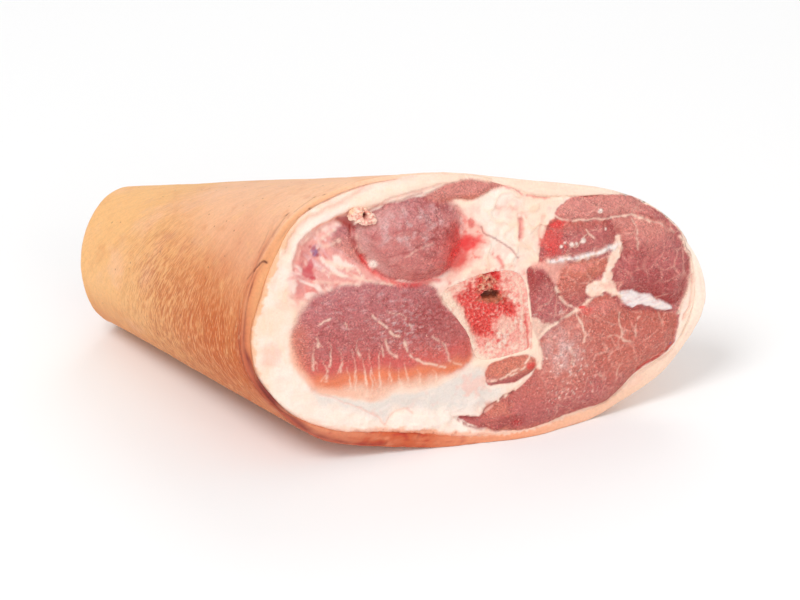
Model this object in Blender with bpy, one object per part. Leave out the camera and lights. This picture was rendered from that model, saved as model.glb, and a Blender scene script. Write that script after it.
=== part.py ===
"""A raw pork knuckle with its rind on, lying on its side on a table.

The shank tapers from a thick end, sawn across at an angle through the muscles and the bone, to a
thin end, sawn square above the foot. Lengths are in millimetres until the meshes are made.
X runs along the limb from the thin end to the thick end, and Z is up.
"""

import math

import bmesh
import bpy
import numpy as np

MM = 0.001

# The thick end's cut: its middle, how far it turns from square across the limb, and how far it
# leans back.
CUT_MIDDLE = np.array((54.2, -2.5, 52.7))
CUT_TURN = math.radians(41.0)
CUT_LEAN = math.radians(12.0)

# The thin end: its middle, and its half height and half width.
HOCK_MIDDLE = np.array((-110.3, -2.5, 29.6))
HOCK_HALF_HEIGHT = 29.2
HOCK_HALF_WIDTH = 28.0
HOCK_HOLLOW = 1.6
HOCK_ROUND = 6.0
# Rings round the thin end's edge: how far each is drawn in, and how far it lies beyond the limb's
# end, as shares of HOCK_ROUND. The sawn face is level with the last one.
HOCK_EDGE = ((0.3, 0.5), (0.8, 0.8), (1.0, 0.85))
HOCK_FACE = HOCK_EDGE[-1][1] * HOCK_ROUND

# The rind: its thickness at the cut, how round its outer edge is there, and how far its lip stands out.
RIND = 4.6
RIND_ROUND = 1.6
LIP = 0.4

# How far the limb swells between its two ends, and how much more over the calf, which faces +Y.
SWELL = 0.6
CALF_SWELL = 6.0
HEEL_RIDGE = 3.0

# The table flattens the underside by this much.
REST_SINK = 1.1

# The bone: the gap round it, how far its rim stands out of the cut, how deep the marrow lies, how
# narrow its waist is as a share of its ends, and its size at the thin end.
BONE_GAP = 0.45
BONE_PROUD = 0.8
MARROW_HOLLOW = 1.5
BONE_WAIST = 0.66
BONE_HOCK_WIDTH = 27.0
BONE_HOCK_HEIGHT = 22.0
# Rings of the bone's two sawn ends: size as a share of the outline, and height of each. Heights at
# the thin end are shares of HOCK_ROUND.
BONE_CUT_END = ((0.3, -MARROW_HOLLOW), (0.65, -MARROW_HOLLOW), (0.8, 0.0), (1.0, BONE_PROUD))
BONE_HOCK_END = ((1.0, 0.85), (0.6, 0.75))

# How many points go round each ring, how many rings each part has, and how much the rings bunch.
AROUND = 96
BODY_RINGS = 10
BODY_BUNCHING = 0.95
FACE_RINGS = 20
FACE_BUNCHING = 0.9
BONE_STEP = 2
HOCK_RINGS = 3
BORE_SHARES = (0.025, 0.1, 0.22, 0.4, 0.6, 0.8, 1.0)
RIND_SLOT, FAT_SLOT, MUSCLE_SLOT = 0, 1, 2

# Outlines on the thick cut, as (across to the right, up) from CUT_MIDDLE, seen from outside.
# The rind's edge has a third number: how far it stands out of the cut's plane there.
RIM = (
    (-90.0, 2.3, 0.0), (-85.6, 22.2, 0.0), (-75.1, 39.5, 0.0), (-62.4, 50.4, 0.0), (-38.9, 57.0, 0.0),
    (-8.0, 55.5, 0.0), (23.4, 48.3, 0.0), (55.6, 40.3, 0.0), (75.0, 31.0, -1.0), (90.0, 15.5, -1.5),
    (97.0, -3.0, -1.0), (94.5, -18.0, 0.0), (79.0, -37.4, 0.0), (61.5, -46.6, 0.0), (43.8, -53.4, 0.5),
    (20.0, -55.0, 4.0), (-3.0, -54.5, 2.0), (-32.5, -50.2, 0.0), (-61.8, -42.0, 0.0), (-78.5, -27.0, 0.0),
    (-88.0, -11.7, 0.0),
)
BONE = (
    (-12.4, 7.6), (-5.7, 12.1), (6.1, 14.6), (16.5, 13.8), (21.8, 8.0), (22.6, -2.1),
    (23.2, -16.5), (18.0, -20.1), (0.9, -20.0), (-3.3, -8.3),
)
# Each muscle that the cut crosses is an oval: its middle across and up, its half length and half
# width, how far its length tilts up to the right in degrees, and how far it stands out of the fat.
MUSCLES = {
    "shank_front": (-36.0, -4.5, 35.5, 20.5, -8.0, 2.6),
    "upper_oval": (-23.5, 31.0, 22.5, 16.0, 14.0, 5.2),
    "rear_top": (57.5, 32.0, 20.0, 4.5, -6.0, 2.0),
    "rear_red": (45.0, 22.5, 16.5, 8.0, 0.0, 1.8),
    "rear_big": (74.5, 8.0, 20.0, 15.0, 80.0, 3.8),
    "rear_inner": (44.0, 4.5, 11.5, 7.5, 10.0, 1.6),
    "by_bone": (30.5, -2.0, 13.0, 7.0, 60.0, 1.2),
    "rear_low": (43.0, -29.5, 42.0, 17.0, 16.0, 3.4),
    "under_bone": (14.0, -26.0, 11.0, 5.0, 0.0, 0.8),
}
MUSCLE_SHOULDER = 7.0
BONE_SHOULDER = 6.0
SEAM_DEPTH = 0.8
SEAM_WIDTH = 4.0

RIND_COLOUR = (0.74, 0.42, 0.22, 1.0)
FAT_COLOUR = (0.86, 0.74, 0.62, 1.0)
MUSCLE_COLOUR = (0.50, 0.13, 0.12, 1.0)
BONE_COLOUR = (0.80, 0.52, 0.44, 1.0)


def unit(vector):
    return vector / np.linalg.norm(vector)


# The thick cut's own axes: out of the meat, across to the right, and up the face.
CUT_OUT = np.array((
    math.cos(CUT_TURN) * math.cos(CUT_LEAN),
    -math.sin(CUT_TURN) * math.cos(CUT_LEAN),
    math.sin(CUT_LEAN),
))
CUT_ACROSS = unit(np.cross((0.0, 0.0, 1.0), CUT_OUT))
CUT_UP = np.cross(CUT_OUT, CUT_ACROSS)

# The limb's own axes: along it to the thin end, and across it.
LIMB_ALONG = unit(HOCK_MIDDLE - CUT_MIDDLE)
LIMB_SIDE = unit(np.cross((0.0, 0.0, 1.0), LIMB_ALONG))
LIMB_TOP = np.cross(LIMB_ALONG, LIMB_SIDE)
CALF_SIGN = math.copysign(1.0, LIMB_SIDE[1])


def smooth_loop(points, steps=24):
    """A closed Catmull-Rom curve through the points."""
    points = np.array(points, float)
    before, after, later = (np.roll(points, shift, axis=0) for shift in (1, -1, -2))
    rows = []
    for t in np.arange(steps) / steps:
        rows.append(0.5 * (
            2 * points
            + (after - before) * t
            + (2 * before - 5 * points + 4 * after - later) * t**2
            + (3 * points - before - 3 * after + later) * t**3
        ))
    return np.stack(rows, axis=1).reshape(-1, points.shape[1])


def evenly(loop, count):
    """Points spaced evenly along a closed loop."""
    closed = np.vstack([loop, loop[:1]])
    along = np.concatenate([[0.0], np.cumsum(np.linalg.norm(np.diff(closed, axis=0), axis=1))])
    wanted = np.arange(count) / count * along[-1]
    return np.stack([np.interp(wanted, along, column) for column in closed.T], axis=1)


def reach(loop, middle, angles):
    """How far the loop lies from the middle in each direction."""
    arms = loop - middle
    turns = np.arctan2(arms[:, 1], arms[:, 0])
    order = np.argsort(turns)
    return np.interp(angles, turns[order], np.linalg.norm(arms, axis=1)[order], period=2 * math.pi)


def depth_in_muscle(points, across, up, half_length, half_width, tilt):
    """Rough distance of each point inside a muscle's oval, negative outside it."""
    turn = math.radians(tilt)
    arms = points - np.array((across, up))
    lengthwise = arms[:, 0] * math.cos(turn) + arms[:, 1] * math.sin(turn)
    widthwise = arms[:, 1] * math.cos(turn) - arms[:, 0] * math.sin(turn)
    return (1 - np.hypot(lengthwise / half_length, widthwise / half_width)) * half_width


def relief(points):
    """Height of the meat and fat above the thick cut's plane."""
    height = np.zeros(len(points))
    for *oval, stands_out in MUSCLES.values():
        depth = depth_in_muscle(points, *oval)
        height += stands_out * (1 - np.exp(-((np.maximum(depth, 0) / MUSCLE_SHOULDER) ** 2)))
        height -= SEAM_DEPTH * np.exp(-((depth / SEAM_WIDTH) ** 2))
    bone = smooth_loop(BONE)
    middle = bone.mean(axis=0)
    arms = points - middle
    bearings = np.arctan2(arms[:, 1], arms[:, 0])
    from_bone = np.linalg.norm(arms, axis=1) - reach(bone, middle, bearings) - BONE_GAP
    return height * np.clip(from_bone / BONE_SHOULDER, 0, 1)


def on_cut(flat, height=0.0):
    """Points of the thick cut's plane, lifted out of it, in space."""
    flat = np.asarray(flat, float)
    lift = np.broadcast_to(np.asarray(height, float), flat.shape[:-1])
    return CUT_MIDDLE + flat[..., :1] * CUT_ACROSS + flat[..., 1:] * CUT_UP + lift[..., None] * CUT_OUT


def body_ring(rim, hock, share):
    """The rind's ring at a share of the way from the thick cut to the thin end."""
    straight = rim + (hock - rim) * share
    middle = CUT_MIDDLE + (HOCK_MIDDLE - CUT_MIDDLE) * share
    arm = straight - middle
    arm -= (arm @ LIMB_ALONG)[:, None] * LIMB_ALONG
    outwards = arm / np.linalg.norm(arm, axis=1)[:, None]
    calf_side = np.maximum(outwards @ LIMB_SIDE * CALF_SIGN, 0) ** 2
    calf = CALF_SWELL * calf_side * math.sin(math.pi * share) ** 2
    heel = HEEL_RIDGE * calf_side**4 * share**3
    swell = SWELL * math.sin(math.pi * share)
    return straight + (swell + calf + heel)[:, None] * outwards


def rested(ring):
    """The ring let down a little and pressed flat where it meets the table."""
    settled = ring - np.array((0.0, 0.0, REST_SINK))
    settled[:, 2] = np.maximum(settled[:, 2], 0.0)
    return settled


def oval_at_hock(turns, half_width, half_height):
    """An oval round the thin end's middle, square across the limb."""
    side = half_width * np.cos(turns)
    up = half_height * np.sin(turns)
    return HOCK_MIDDLE + side[:, None] * LIMB_SIDE + up[:, None] * LIMB_TOP


def bone_ring(bone, turns, share, wider=0.0):
    """A ring of the bone at a share of its way through the limb."""
    middle = bone.mean(axis=0)
    arms = bone - middle
    arms = arms * (1 + wider / np.linalg.norm(arms, axis=1))[:, None]
    cut_end = on_cut(middle + arms)
    hock_end = oval_at_hock(turns, BONE_HOCK_WIDTH / 2 + wider, BONE_HOCK_HEIGHT / 2 + wider)
    ring = cut_end + (hock_end - cut_end) * share
    waist = 1 - (1 - BONE_WAIST) * math.sin(math.pi * share) ** 2
    centre = ring.mean(axis=0)
    narrowed = centre + (ring - centre) * waist
    if waist < 1:
        spoke = ring - centre
        narrowed += spoke / np.linalg.norm(spoke, axis=1)[:, None] * wider * (1 - waist)
    return narrowed


def flesh_rings():
    """All rings of the meat, round its outside and back through the bone's bore."""
    edge = evenly(smooth_loop(RIM), AROUND)
    rim_flat, rim_lift = edge[:, :2], edge[:, 2]
    rim = on_cut(rim_flat, rim_lift)
    arms = rim - CUT_MIDDLE
    turns = np.arctan2(arms @ LIMB_TOP, arms @ LIMB_SIDE)
    hock = oval_at_hock(turns, HOCK_HALF_WIDTH, HOCK_HALF_HEIGHT)
    bone_loop = smooth_loop(BONE)
    bone_middle = bone_loop.mean(axis=0)
    spokes = rim_flat - bone_middle
    bearings = np.arctan2(spokes[:, 1], spokes[:, 0])
    outwards = spokes / np.linalg.norm(spokes, axis=1)[:, None]
    bone_flat = bone_middle + outwards * reach(bone_loop, bone_middle, bearings)[:, None]
    rind_inner = rim_flat - outwards * RIND
    mouth = bone_flat + outwards * BONE_GAP

    rings = []
    for share in np.linspace(0, 1, FACE_RINGS) ** FACE_BUNCHING:
        flat = mouth + (rind_inner - mouth) * share
        rings.append((on_cut(flat, relief(flat) + rim_lift * share**2), "cut"))
    rings.append((on_cut(rim_flat - outwards * RIND_ROUND, rim_lift + LIP), "rind"))
    round_share = RIND_ROUND / np.linalg.norm(HOCK_MIDDLE - CUT_MIDDLE)
    for share in round_share + (1 - round_share) * np.linspace(0, 1, BODY_RINGS) ** BODY_BUNCHING:
        rings.append((body_ring(rim, hock, share), "rind"))
    end = body_ring(rim, hock, 1.0)
    inwards = (HOCK_MIDDLE - end) / np.linalg.norm(HOCK_MIDDLE - end, axis=1)[:, None]
    for drawn_in, beyond in HOCK_EDGE:
        rings.append((end + HOCK_ROUND * (drawn_in * inwards + beyond * LIMB_ALONG), "rind"))
    last = rings[-1][0]
    bore_mouth = bone_ring(bone_flat, turns, 1.0, BONE_GAP) + HOCK_FACE * LIMB_ALONG
    for share in np.arange(1, HOCK_RINGS + 1) / HOCK_RINGS:
        hollow = HOCK_HOLLOW * math.sin(math.pi * share)
        rings.append((last + (bore_mouth - last) * share - hollow * LIMB_ALONG, "cut"))
    for share in reversed(BORE_SHARES):
        rings.append((bone_ring(bone_flat, turns, share, BONE_GAP), "cut"))
    return rings, bone_flat, turns


def bone_rings(bone_flat, turns):
    """The bone's rings, from its middle at the thick cut to its middle at the thin end."""
    middle = bone_flat.mean(axis=0)
    rings = []
    for share, height in BONE_CUT_END:
        rings.append(on_cut(middle + (bone_flat - middle) * share) - height * LIMB_ALONG)
    for share in BORE_SHARES:
        rings.append(bone_ring(bone_flat, turns, share))
    end = rings[-1]
    centre = end.mean(axis=0)
    for share, beyond in BONE_HOCK_END:
        rings.append(centre + (end - centre) * share + beyond * HOCK_ROUND * LIMB_ALONG)
    return rings


def material(name, colour, roughness):
    made = bpy.data.materials.new(name)
    made.use_nodes = True
    shader = made.node_tree.nodes["Principled BSDF"]
    shader.inputs["Base Color"].default_value = colour
    shader.inputs["Roughness"].default_value = roughness
    made.diffuse_color = colour
    return made


def skinned(name, rings, closed_round, materials, slot_of):
    """An object whose skin joins each ring to the next: in a closed circuit, or with capped ends."""
    mesh = bmesh.new()
    rows = [[mesh.verts.new(point * MM) for point in ring] for ring in rings]
    pairs = list(zip(rows, rows[1:] + rows[:1] if closed_round else rows[1:]))
    for index, (row, following) in enumerate(pairs):
        for k in range(len(row)):
            after = (k + 1) % len(row)
            face = mesh.faces.new((row[k], row[after], following[after], following[k]))
            face.material_index = slot_of(index, face.calc_center_median())
    if not closed_round:
        for row in (rows[0], rows[-1]):
            centre = mesh.verts.new(sum((v.co for v in row), row[0].co * 0) / len(row))
            for k in range(len(row)):
                mesh.faces.new((row[k], row[(k + 1) % len(row)], centre))
    bmesh.ops.recalc_face_normals(mesh, faces=mesh.faces)
    bmesh.ops.triangulate(mesh, faces=mesh.faces)
    data = bpy.data.meshes.new(name)
    mesh.to_mesh(data)
    mesh.free()
    for slot in materials:
        data.materials.append(slot)
    data.shade_smooth()
    return bpy.data.objects.new(name, data)


def make_flesh(rings):
    """Rind, fat and muscle in one solid, bored through for the bone."""
    kinds = [kind for _, kind in rings]

    def slot_of(index, centre):
        if index >= FACE_RINGS - 1 and kinds[index] == "rind":
            return RIND_SLOT
        from_middle = np.array(centre) / MM - CUT_MIDDLE
        flat = np.array([[from_middle @ CUT_ACROSS, from_middle @ CUT_UP]])
        on_face = index < FACE_RINGS - 1
        in_muscle = any(depth_in_muscle(flat, *oval)[0] > 0 for *oval, _ in MUSCLES.values())
        return MUSCLE_SLOT if on_face and in_muscle else FAT_SLOT

    slots = [
        material("rind", RIND_COLOUR, 0.5),
        material("fat", FAT_COLOUR, 0.4),
        material("muscle", MUSCLE_COLOUR, 0.35),
    ]
    return skinned("flesh", [rested(ring) for ring, _ in rings], True, slots, slot_of)


def make_bone(bone_flat, turns):
    """The shank bone, sawn at both ends."""
    slots = [material("bone", BONE_COLOUR, 0.45)]
    rings = [rested(ring) for ring in bone_rings(bone_flat[::BONE_STEP], turns[::BONE_STEP])]
    return skinned("bone", rings, False, slots, lambda index, centre: 0)


def main():
    for old in list(bpy.data.objects):
        bpy.data.objects.remove(old)
    collection = bpy.data.collections.new("pork_knuckle")
    bpy.context.scene.collection.children.link(collection)
    rings, bone_flat, turns = flesh_rings()
    collection.objects.link(make_flesh(rings))
    collection.objects.link(make_bone(bone_flat, turns))


main()
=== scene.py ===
"""The looks of a raw pork knuckle with its rind on.

Lengths are in millimetres in the frame's axes until a mesh is made. The thick end's cut has its own
flat coordinates: across to the right and up, from the middle of the cut, as seen from outside.
"""

import itertools
import math

import bpy
import numpy as np
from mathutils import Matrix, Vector


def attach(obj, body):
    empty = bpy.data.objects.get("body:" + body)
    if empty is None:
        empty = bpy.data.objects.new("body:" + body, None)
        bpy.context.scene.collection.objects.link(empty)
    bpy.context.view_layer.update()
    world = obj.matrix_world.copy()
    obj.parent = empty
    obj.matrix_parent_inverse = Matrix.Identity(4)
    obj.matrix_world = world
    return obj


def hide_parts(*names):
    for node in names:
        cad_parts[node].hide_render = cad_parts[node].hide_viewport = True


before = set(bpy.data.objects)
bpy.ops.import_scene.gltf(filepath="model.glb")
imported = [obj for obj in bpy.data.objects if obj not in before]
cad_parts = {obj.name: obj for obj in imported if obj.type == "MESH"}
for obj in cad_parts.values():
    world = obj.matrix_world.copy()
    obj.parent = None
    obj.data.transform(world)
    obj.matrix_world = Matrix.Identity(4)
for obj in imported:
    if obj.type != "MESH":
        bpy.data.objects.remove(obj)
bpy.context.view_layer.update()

MM = 0.001
EPSILON = 1e-9
FAR = 99.0
# These bring noise, and noise in layers, to about -1 to 1.
NOISE_GAIN = 1.7
LAYERS_SHARE = 1.6

# The solid's own sizes, as in its source.
CUT_MIDDLE = np.array((54.2, -2.5, 52.7))
CUT_TURN = math.radians(41.0)
CUT_LEAN = math.radians(12.0)
HOCK_MIDDLE = np.array((-110.3, -2.5, 29.6))
HOCK_HALF_HEIGHT = 29.2
HOCK_HALF_WIDTH = 28.0
HOCK_HOLLOW = 1.6
HOCK_ROUND = 6.0
SWELL = 0.6
CALF_SWELL = 6.0
HEEL_RIDGE = 3.0
REST_SINK = 1.1
RIND_ROUND = 1.4
BONE_WAIST = 0.66
BONE_HOCK_WIDTH = 27.0
BONE_HOCK_HEIGHT = 22.0
# How far the meat is sunk where the bone passes through it, and how far the sawn bone stands out.
SOCKET_DEPTH = 4.0
BONE_OUT = 0.62

# The rind's outer edge at the thick cut: across, up, and how far it stands out of the cut's plane.
RIM = (
    (-90.0, 2.3, 0.0), (-85.6, 22.2, 0.0), (-75.1, 39.5, 0.0), (-62.4, 50.4, 0.0), (-38.9, 57.0, 0.0),
    (-8.0, 55.5, 0.0), (23.4, 48.3, 0.0), (55.6, 40.3, 0.0), (75.0, 31.0, -1.0), (90.0, 15.5, -1.5),
    (97.0, -3.0, -1.0), (94.5, -18.0, 0.0), (79.0, -37.4, 0.0), (61.5, -46.6, 0.0), (43.8, -53.4, 0.5),
    (20.0, -55.0, 4.0), (-3.0, -54.5, 2.0), (-32.5, -50.2, 0.0), (-61.8, -42.0, 0.0), (-78.5, -27.0, 0.0),
    (-88.0, -11.7, 0.0),
)
# The rind's inner edge, where the fat and meat begin.
FACE_EDGE = (
    (-87.2, -0.2), (-86.0, 8.0), (-82.8, 15.2), (-79.0, 24.5), (-72.5, 36.5), (-67.4, 44.0), (-60.0, 49.8),
    (-47.6, 54.0), (-34.0, 56.0), (-13.8, 55.2), (2.0, 52.6), (14.3, 47.6), (20.1, 44.3), (27.2, 41.0),
    (40.0, 38.8), (55.5, 37.3), (65.0, 35.4), (75.5, 29.0), (85.0, 20.0), (90.3, 8.5), (91.6, -3.0),
    (89.8, -13.0), (84.5, -24.0), (78.7, -30.6), (71.0, -34.2), (65.0, -37.2), (58.0, -42.3),
    (50.5, -46.6), (34.9, -48.7), (18.5, -50.4), (-5.7, -49.3), (-22.0, -45.9), (-40.0, -42.0),
    (-57.6, -38.2), (-70.0, -31.8), (-79.9, -23.3), (-85.4, -13.2),
)
BONE = (
    (-12.4, 7.6), (-5.7, 12.1), (6.1, 14.6), (16.5, 13.8), (21.8, 8.0), (22.6, -2.1),
    (23.2, -16.5), (18.0, -20.1), (0.9, -20.0), (-3.3, -8.3),
)

# Plain colours, as linear red, green and blue.
CREAM = (0.95, 0.69, 0.54)
WHITE_FAT = (0.96, 0.79, 0.69)
BLUISH_FAT = (0.75, 0.67, 0.61)
PINK_FAT = (0.9, 0.44, 0.35)
FASCIA = (0.78, 0.25, 0.22)
MAUVE = (0.52, 0.165, 0.17)
ROSE = (0.50, 0.115, 0.11)
DEEP = (0.36, 0.035, 0.035)
PALE_MAUVE = (0.58, 0.22, 0.22)
ROSY = (0.58, 0.17, 0.155)
BRICK = (0.56, 0.13, 0.09)
BLUSH = (0.68, 0.24, 0.20)
BRIGHT_RED = (0.72, 0.05, 0.04)
SALMON = (0.66, 0.19, 0.12)
ORANGE_MEAT = (0.84, 0.22, 0.09)
BLOOD = (0.80, 0.012, 0.015)
# Painted shade in the hole of the torn scrap of fat.
HOLE_SHADE = (0.20, 0.010, 0.012)
PURPLE = (0.24, 0.11, 0.26)
# Silverskin, tendon and a fat seam, and painted sheen and glints on the muscles.
SILVER_AND_SHEEN = (0.86, 0.78, 0.76)
BONE_WHITE = (0.97, 0.73, 0.57)
BONE_PINK = (0.96, 0.40, 0.33)
MARROW = (0.90, 0.058, 0.047)
# Dark brown of the marrow's pit, partly its own colour and partly painted shade.
PIT = (0.15, 0.03, 0.012)
BROWN = (0.42, 0.15, 0.06)
SKIN_YELLOW = (0.92, 0.52, 0.22)
SKIN_PEACH = (0.84, 0.40, 0.17)
SKIN_ORANGE = (0.60, 0.13, 0.028)
SKIN_PINK = (0.95, 0.58, 0.38)
BAND_PEACH = (0.93, 0.56, 0.38)
BAND_PALE = (0.96, 0.8, 0.68)
BAND_ORANGE = (0.58, 0.11, 0.04)
# Painted shade in the rind's creases and folds, and its dark specks.
CREASE_SHADE_AND_SPECKS = (0.22, 0.035, 0.032)
# Broad painted shade beside the creases at the lower left.
BROAD_SHADE_BROWN = (0.36, 0.075, 0.06)
CLOT = (0.42, 0.02, 0.02)
BAND_LOW = (0.88, 0.36, 0.20)
RASPBERRY = (0.60, 0.06, 0.075)
MAUVE_FAT = (0.78, 0.50, 0.52)
ROSE_PALE = (0.66, 0.18, 0.15)
SALMON_PALE = (0.90, 0.42, 0.27)
PALE_SHEEN = (0.72, 0.40, 0.36)
CRUMB_TAN = (0.80, 0.36, 0.22)
NICK_DARK = (0.10, 0.02, 0.015)
FAINT_BROWN = (0.62, 0.34, 0.27)


def unit(vector):
    """The vector at length 1."""
    return vector / np.linalg.norm(vector)


CUT_OUT = np.array((
    math.cos(CUT_TURN) * math.cos(CUT_LEAN),
    -math.sin(CUT_TURN) * math.cos(CUT_LEAN),
    math.sin(CUT_LEAN),
))
CUT_ACROSS = unit(np.cross((0.0, 0.0, 1.0), CUT_OUT))
CUT_UP = np.cross(CUT_OUT, CUT_ACROSS)
LIMB_ALONG = unit(HOCK_MIDDLE - CUT_MIDDLE)
LIMB_SIDE = unit(np.cross((0.0, 0.0, 1.0), LIMB_ALONG))
LIMB_TOP = np.cross(LIMB_ALONG, LIMB_SIDE)
CALF_SIGN = math.copysign(1.0, LIMB_SIDE[1])


def smooth_loop(points, steps=12):
    """A closed Catmull-Rom curve through the points."""
    points = np.array(points, float)
    before, after, later = (np.roll(points, shift, axis=0) for shift in (1, -1, -2))
    rows = []
    for t in np.arange(steps) / steps:
        rows.append(0.5 * (
            2 * points
            + (after - before) * t
            + (2 * before - 5 * points + 4 * after - later) * t**2
            + (3 * points - before - 3 * after + later) * t**3
        ))
    return np.stack(rows, axis=1).reshape(-1, points.shape[1])


def smooth_line(points, steps=8):
    """An open Catmull-Rom curve through the points."""
    points = np.array(points, float)
    padded = np.vstack([2 * points[0] - points[1], points, 2 * points[-1] - points[-2]])
    rows = []
    for k in range(1, len(padded) - 2):
        a, b, c, d = padded[k - 1:k + 3]
        for t in np.arange(steps) / steps:
            rows.append(0.5 * (
                2 * b + (c - a) * t + (2 * a - 5 * b + 4 * c - d) * t**2 + (3 * b - a - 3 * c + d) * t**3
            ))
    rows.append(padded[-2])
    return np.array(rows)


def evenly(loop, count):
    """Points spaced evenly along a closed loop."""
    closed = np.vstack([loop, loop[:1]])
    along = np.concatenate([[0.0], np.cumsum(np.linalg.norm(np.diff(closed, axis=0), axis=1))])
    wanted = np.arange(count) / count * along[-1]
    return np.stack([np.interp(wanted, along, column) for column in closed.T], axis=1)


def reach(loop, middle, bearings):
    """How far the loop lies from the middle in each direction."""
    arms = loop - middle
    turns = np.arctan2(arms[:, 1], arms[:, 0])
    order = np.argsort(turns)
    return np.interp(bearings, turns[order], np.linalg.norm(arms, axis=1)[order], period=2 * math.pi)


def apart(turns, place):
    """The angle from a place to each turn, by the shorter way round."""
    return np.angle(np.exp(1j * (turns - place)))


def step(low, high, values):
    """A smooth step from 0 at low to 1 at high."""
    share = np.clip((values - low) / (high - low), 0, 1)
    return share * share * (3 - 2 * share)


def bump(values, width):
    """A soft bump, 1 at zero and fading over the width."""
    return np.exp(-((values / width) ** 2))


def patch(flat, place, size):
    """A soft round patch, 1 at its place and fading over its size."""
    return bump(flat[:, 0] - place[0], size[0]) * bump(flat[:, 1] - place[1], size[1])


def near_segments(points, start, end):
    """Distance of each point from the nearest of some straight segments."""
    edge = end - start
    from_start = points[:, None] - start
    share = np.clip((from_start * edge).sum(-1) / ((edge**2).sum(-1) + EPSILON), 0, 1)
    return np.sqrt(((from_start - share[..., None] * edge) ** 2).sum(-1)).min(axis=1)


def within(points, outline, margin):
    """The numbers of the points that lie in the outline's box or near it."""
    low, high = outline.min(axis=0) - margin, outline.max(axis=0) + margin
    return np.flatnonzero(((points > low) & (points < high)).all(axis=1))


def in_parts(function, points, size=8192):
    """A function's values at many points, worked out a part at a time to save memory."""
    if not len(points):
        return np.zeros(0)
    return np.concatenate([function(points[k:k + size]) for k in range(0, len(points), size)])


def depth_inside(points, outline, margin=9.0, steps=6, spacing=0.8):
    """Distance of each point inside a smooth closed outline, negative outside it, read off a fine grid."""
    loop = smooth_loop(outline, steps)
    following = np.roll(loop, -1, axis=0)
    rise = following[:, 1] - loop[:, 1]
    rise = np.where(np.abs(rise) < EPSILON, EPSILON, rise)

    def measure(part):
        distance = near_segments(part, loop, following)
        spans = (loop[:, 1] > part[:, None, 1]) != (following[:, 1] > part[:, None, 1])
        crossing = loop[:, 0] + (following[:, 0] - loop[:, 0]) * (part[:, None, 1] - loop[:, 1]) / rise
        inside = (spans & (part[:, None, 0] < crossing)).sum(axis=1) % 2 == 1
        return np.where(inside, distance, -distance)

    depth = np.full(len(points), -FAR)
    chosen = within(points, loop, margin)
    if not len(chosen):
        return depth
    low = loop.min(axis=0) - margin - spacing
    across, up = np.ceil((loop.max(axis=0) + margin - low) / spacing).astype(int) + 2
    grid = low + spacing * np.stack(np.meshgrid(np.arange(across), np.arange(up), indexing="ij"), axis=-1)
    field = in_parts(measure, grid.reshape(-1, 2)).reshape(across, up)
    place = (points[chosen] - low) / spacing
    cell = place.astype(int)
    right, above = (place - cell).T
    column, row = cell.T
    depth[chosen] = (
        field[column, row] * (1 - right) * (1 - above) + field[column + 1, row] * right * (1 - above)
        + field[column, row + 1] * (1 - right) * above + field[column + 1, row + 1] * right * above
    )
    return depth


def off_line(points, line, margin=6.0):
    """Distance of each point from a smooth open line."""
    curve = smooth_line(line)
    distance = np.full(len(points), FAR)
    chosen = within(points, curve, margin)
    distance[chosen] = in_parts(lambda part: near_segments(part, curve[:-1], curve[1:]), points[chosen])
    return distance


def noise(points, size, seed):
    """Smooth noise from about -1 to 1, whose bumps are about that size across."""
    random = np.random.default_rng(seed)
    table = random.permutation(256)
    dims = points.shape[1]
    slopes = random.normal(size=(256, dims))
    slopes /= np.linalg.norm(slopes, axis=1)[:, None]
    place = points / size
    cell = np.floor(place).astype(int)
    inner = place - cell
    fade = inner**3 * (inner * (inner * 6 - 15) + 10)
    total = np.zeros(len(points))
    for corner in itertools.product((0, 1), repeat=dims):
        hashed = np.zeros(len(points), int)
        weight = np.ones(len(points))
        for k, side in enumerate(corner):
            hashed = table[(hashed + cell[:, k] + side) & 255]
            weight *= fade[:, k] if side else 1 - fade[:, k]
        total += (slopes[hashed] * (inner - corner)).sum(axis=1) * weight
    return total * NOISE_GAIN


def cell_borders(points, size, seed):
    """Distance from the borders of uneven cells about that size across."""
    shift = np.random.default_rng(seed).random((64, 64, 2))
    place = points / size
    cell = np.floor(place).astype(int)
    nearest = np.full(len(points), FAR)
    second = np.full(len(points), FAR)
    for across, up in itertools.product((-1, 0, 1), repeat=2):
        near = cell + (across, up)
        distance = np.linalg.norm(place - near - shift[near[:, 0] & 63, near[:, 1] & 63], axis=1)
        second = np.minimum(second, np.maximum(nearest, distance))
        nearest = np.minimum(nearest, distance)
    return (second - nearest) * size / 2


def rough_noise(points, size, seed, layers=4):
    """Noise with finer and finer layers on top."""
    return sum(noise(points, size / 2**k, seed + k) / 2**k for k in range(layers)) / LAYERS_SHARE


def shifts(points, size, seeds, layers=0):
    """Columns of noise for shifting points about: plain noise, or rough noise where it has layers."""
    return np.stack([
        rough_noise(points, size, seed, layers) if layers else noise(points, size, seed) for seed in seeds
    ], axis=1)


def on_cut(flat, height=0.0):
    """Points of the thick cut, lifted out of its plane, in space."""
    flat = np.asarray(flat, float)
    lift = np.broadcast_to(np.asarray(height, float), flat.shape[:-1])
    return CUT_MIDDLE + flat[..., :1] * CUT_ACROSS + flat[..., 1:2] * CUT_UP + lift[..., None] * CUT_OUT


def rested(points):
    """Points let down a little and pressed flat where they meet the table."""
    settled = points - np.array((0.0, 0.0, REST_SINK))
    settled[..., 2] = np.maximum(settled[..., 2], 0.0)
    return settled


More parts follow.
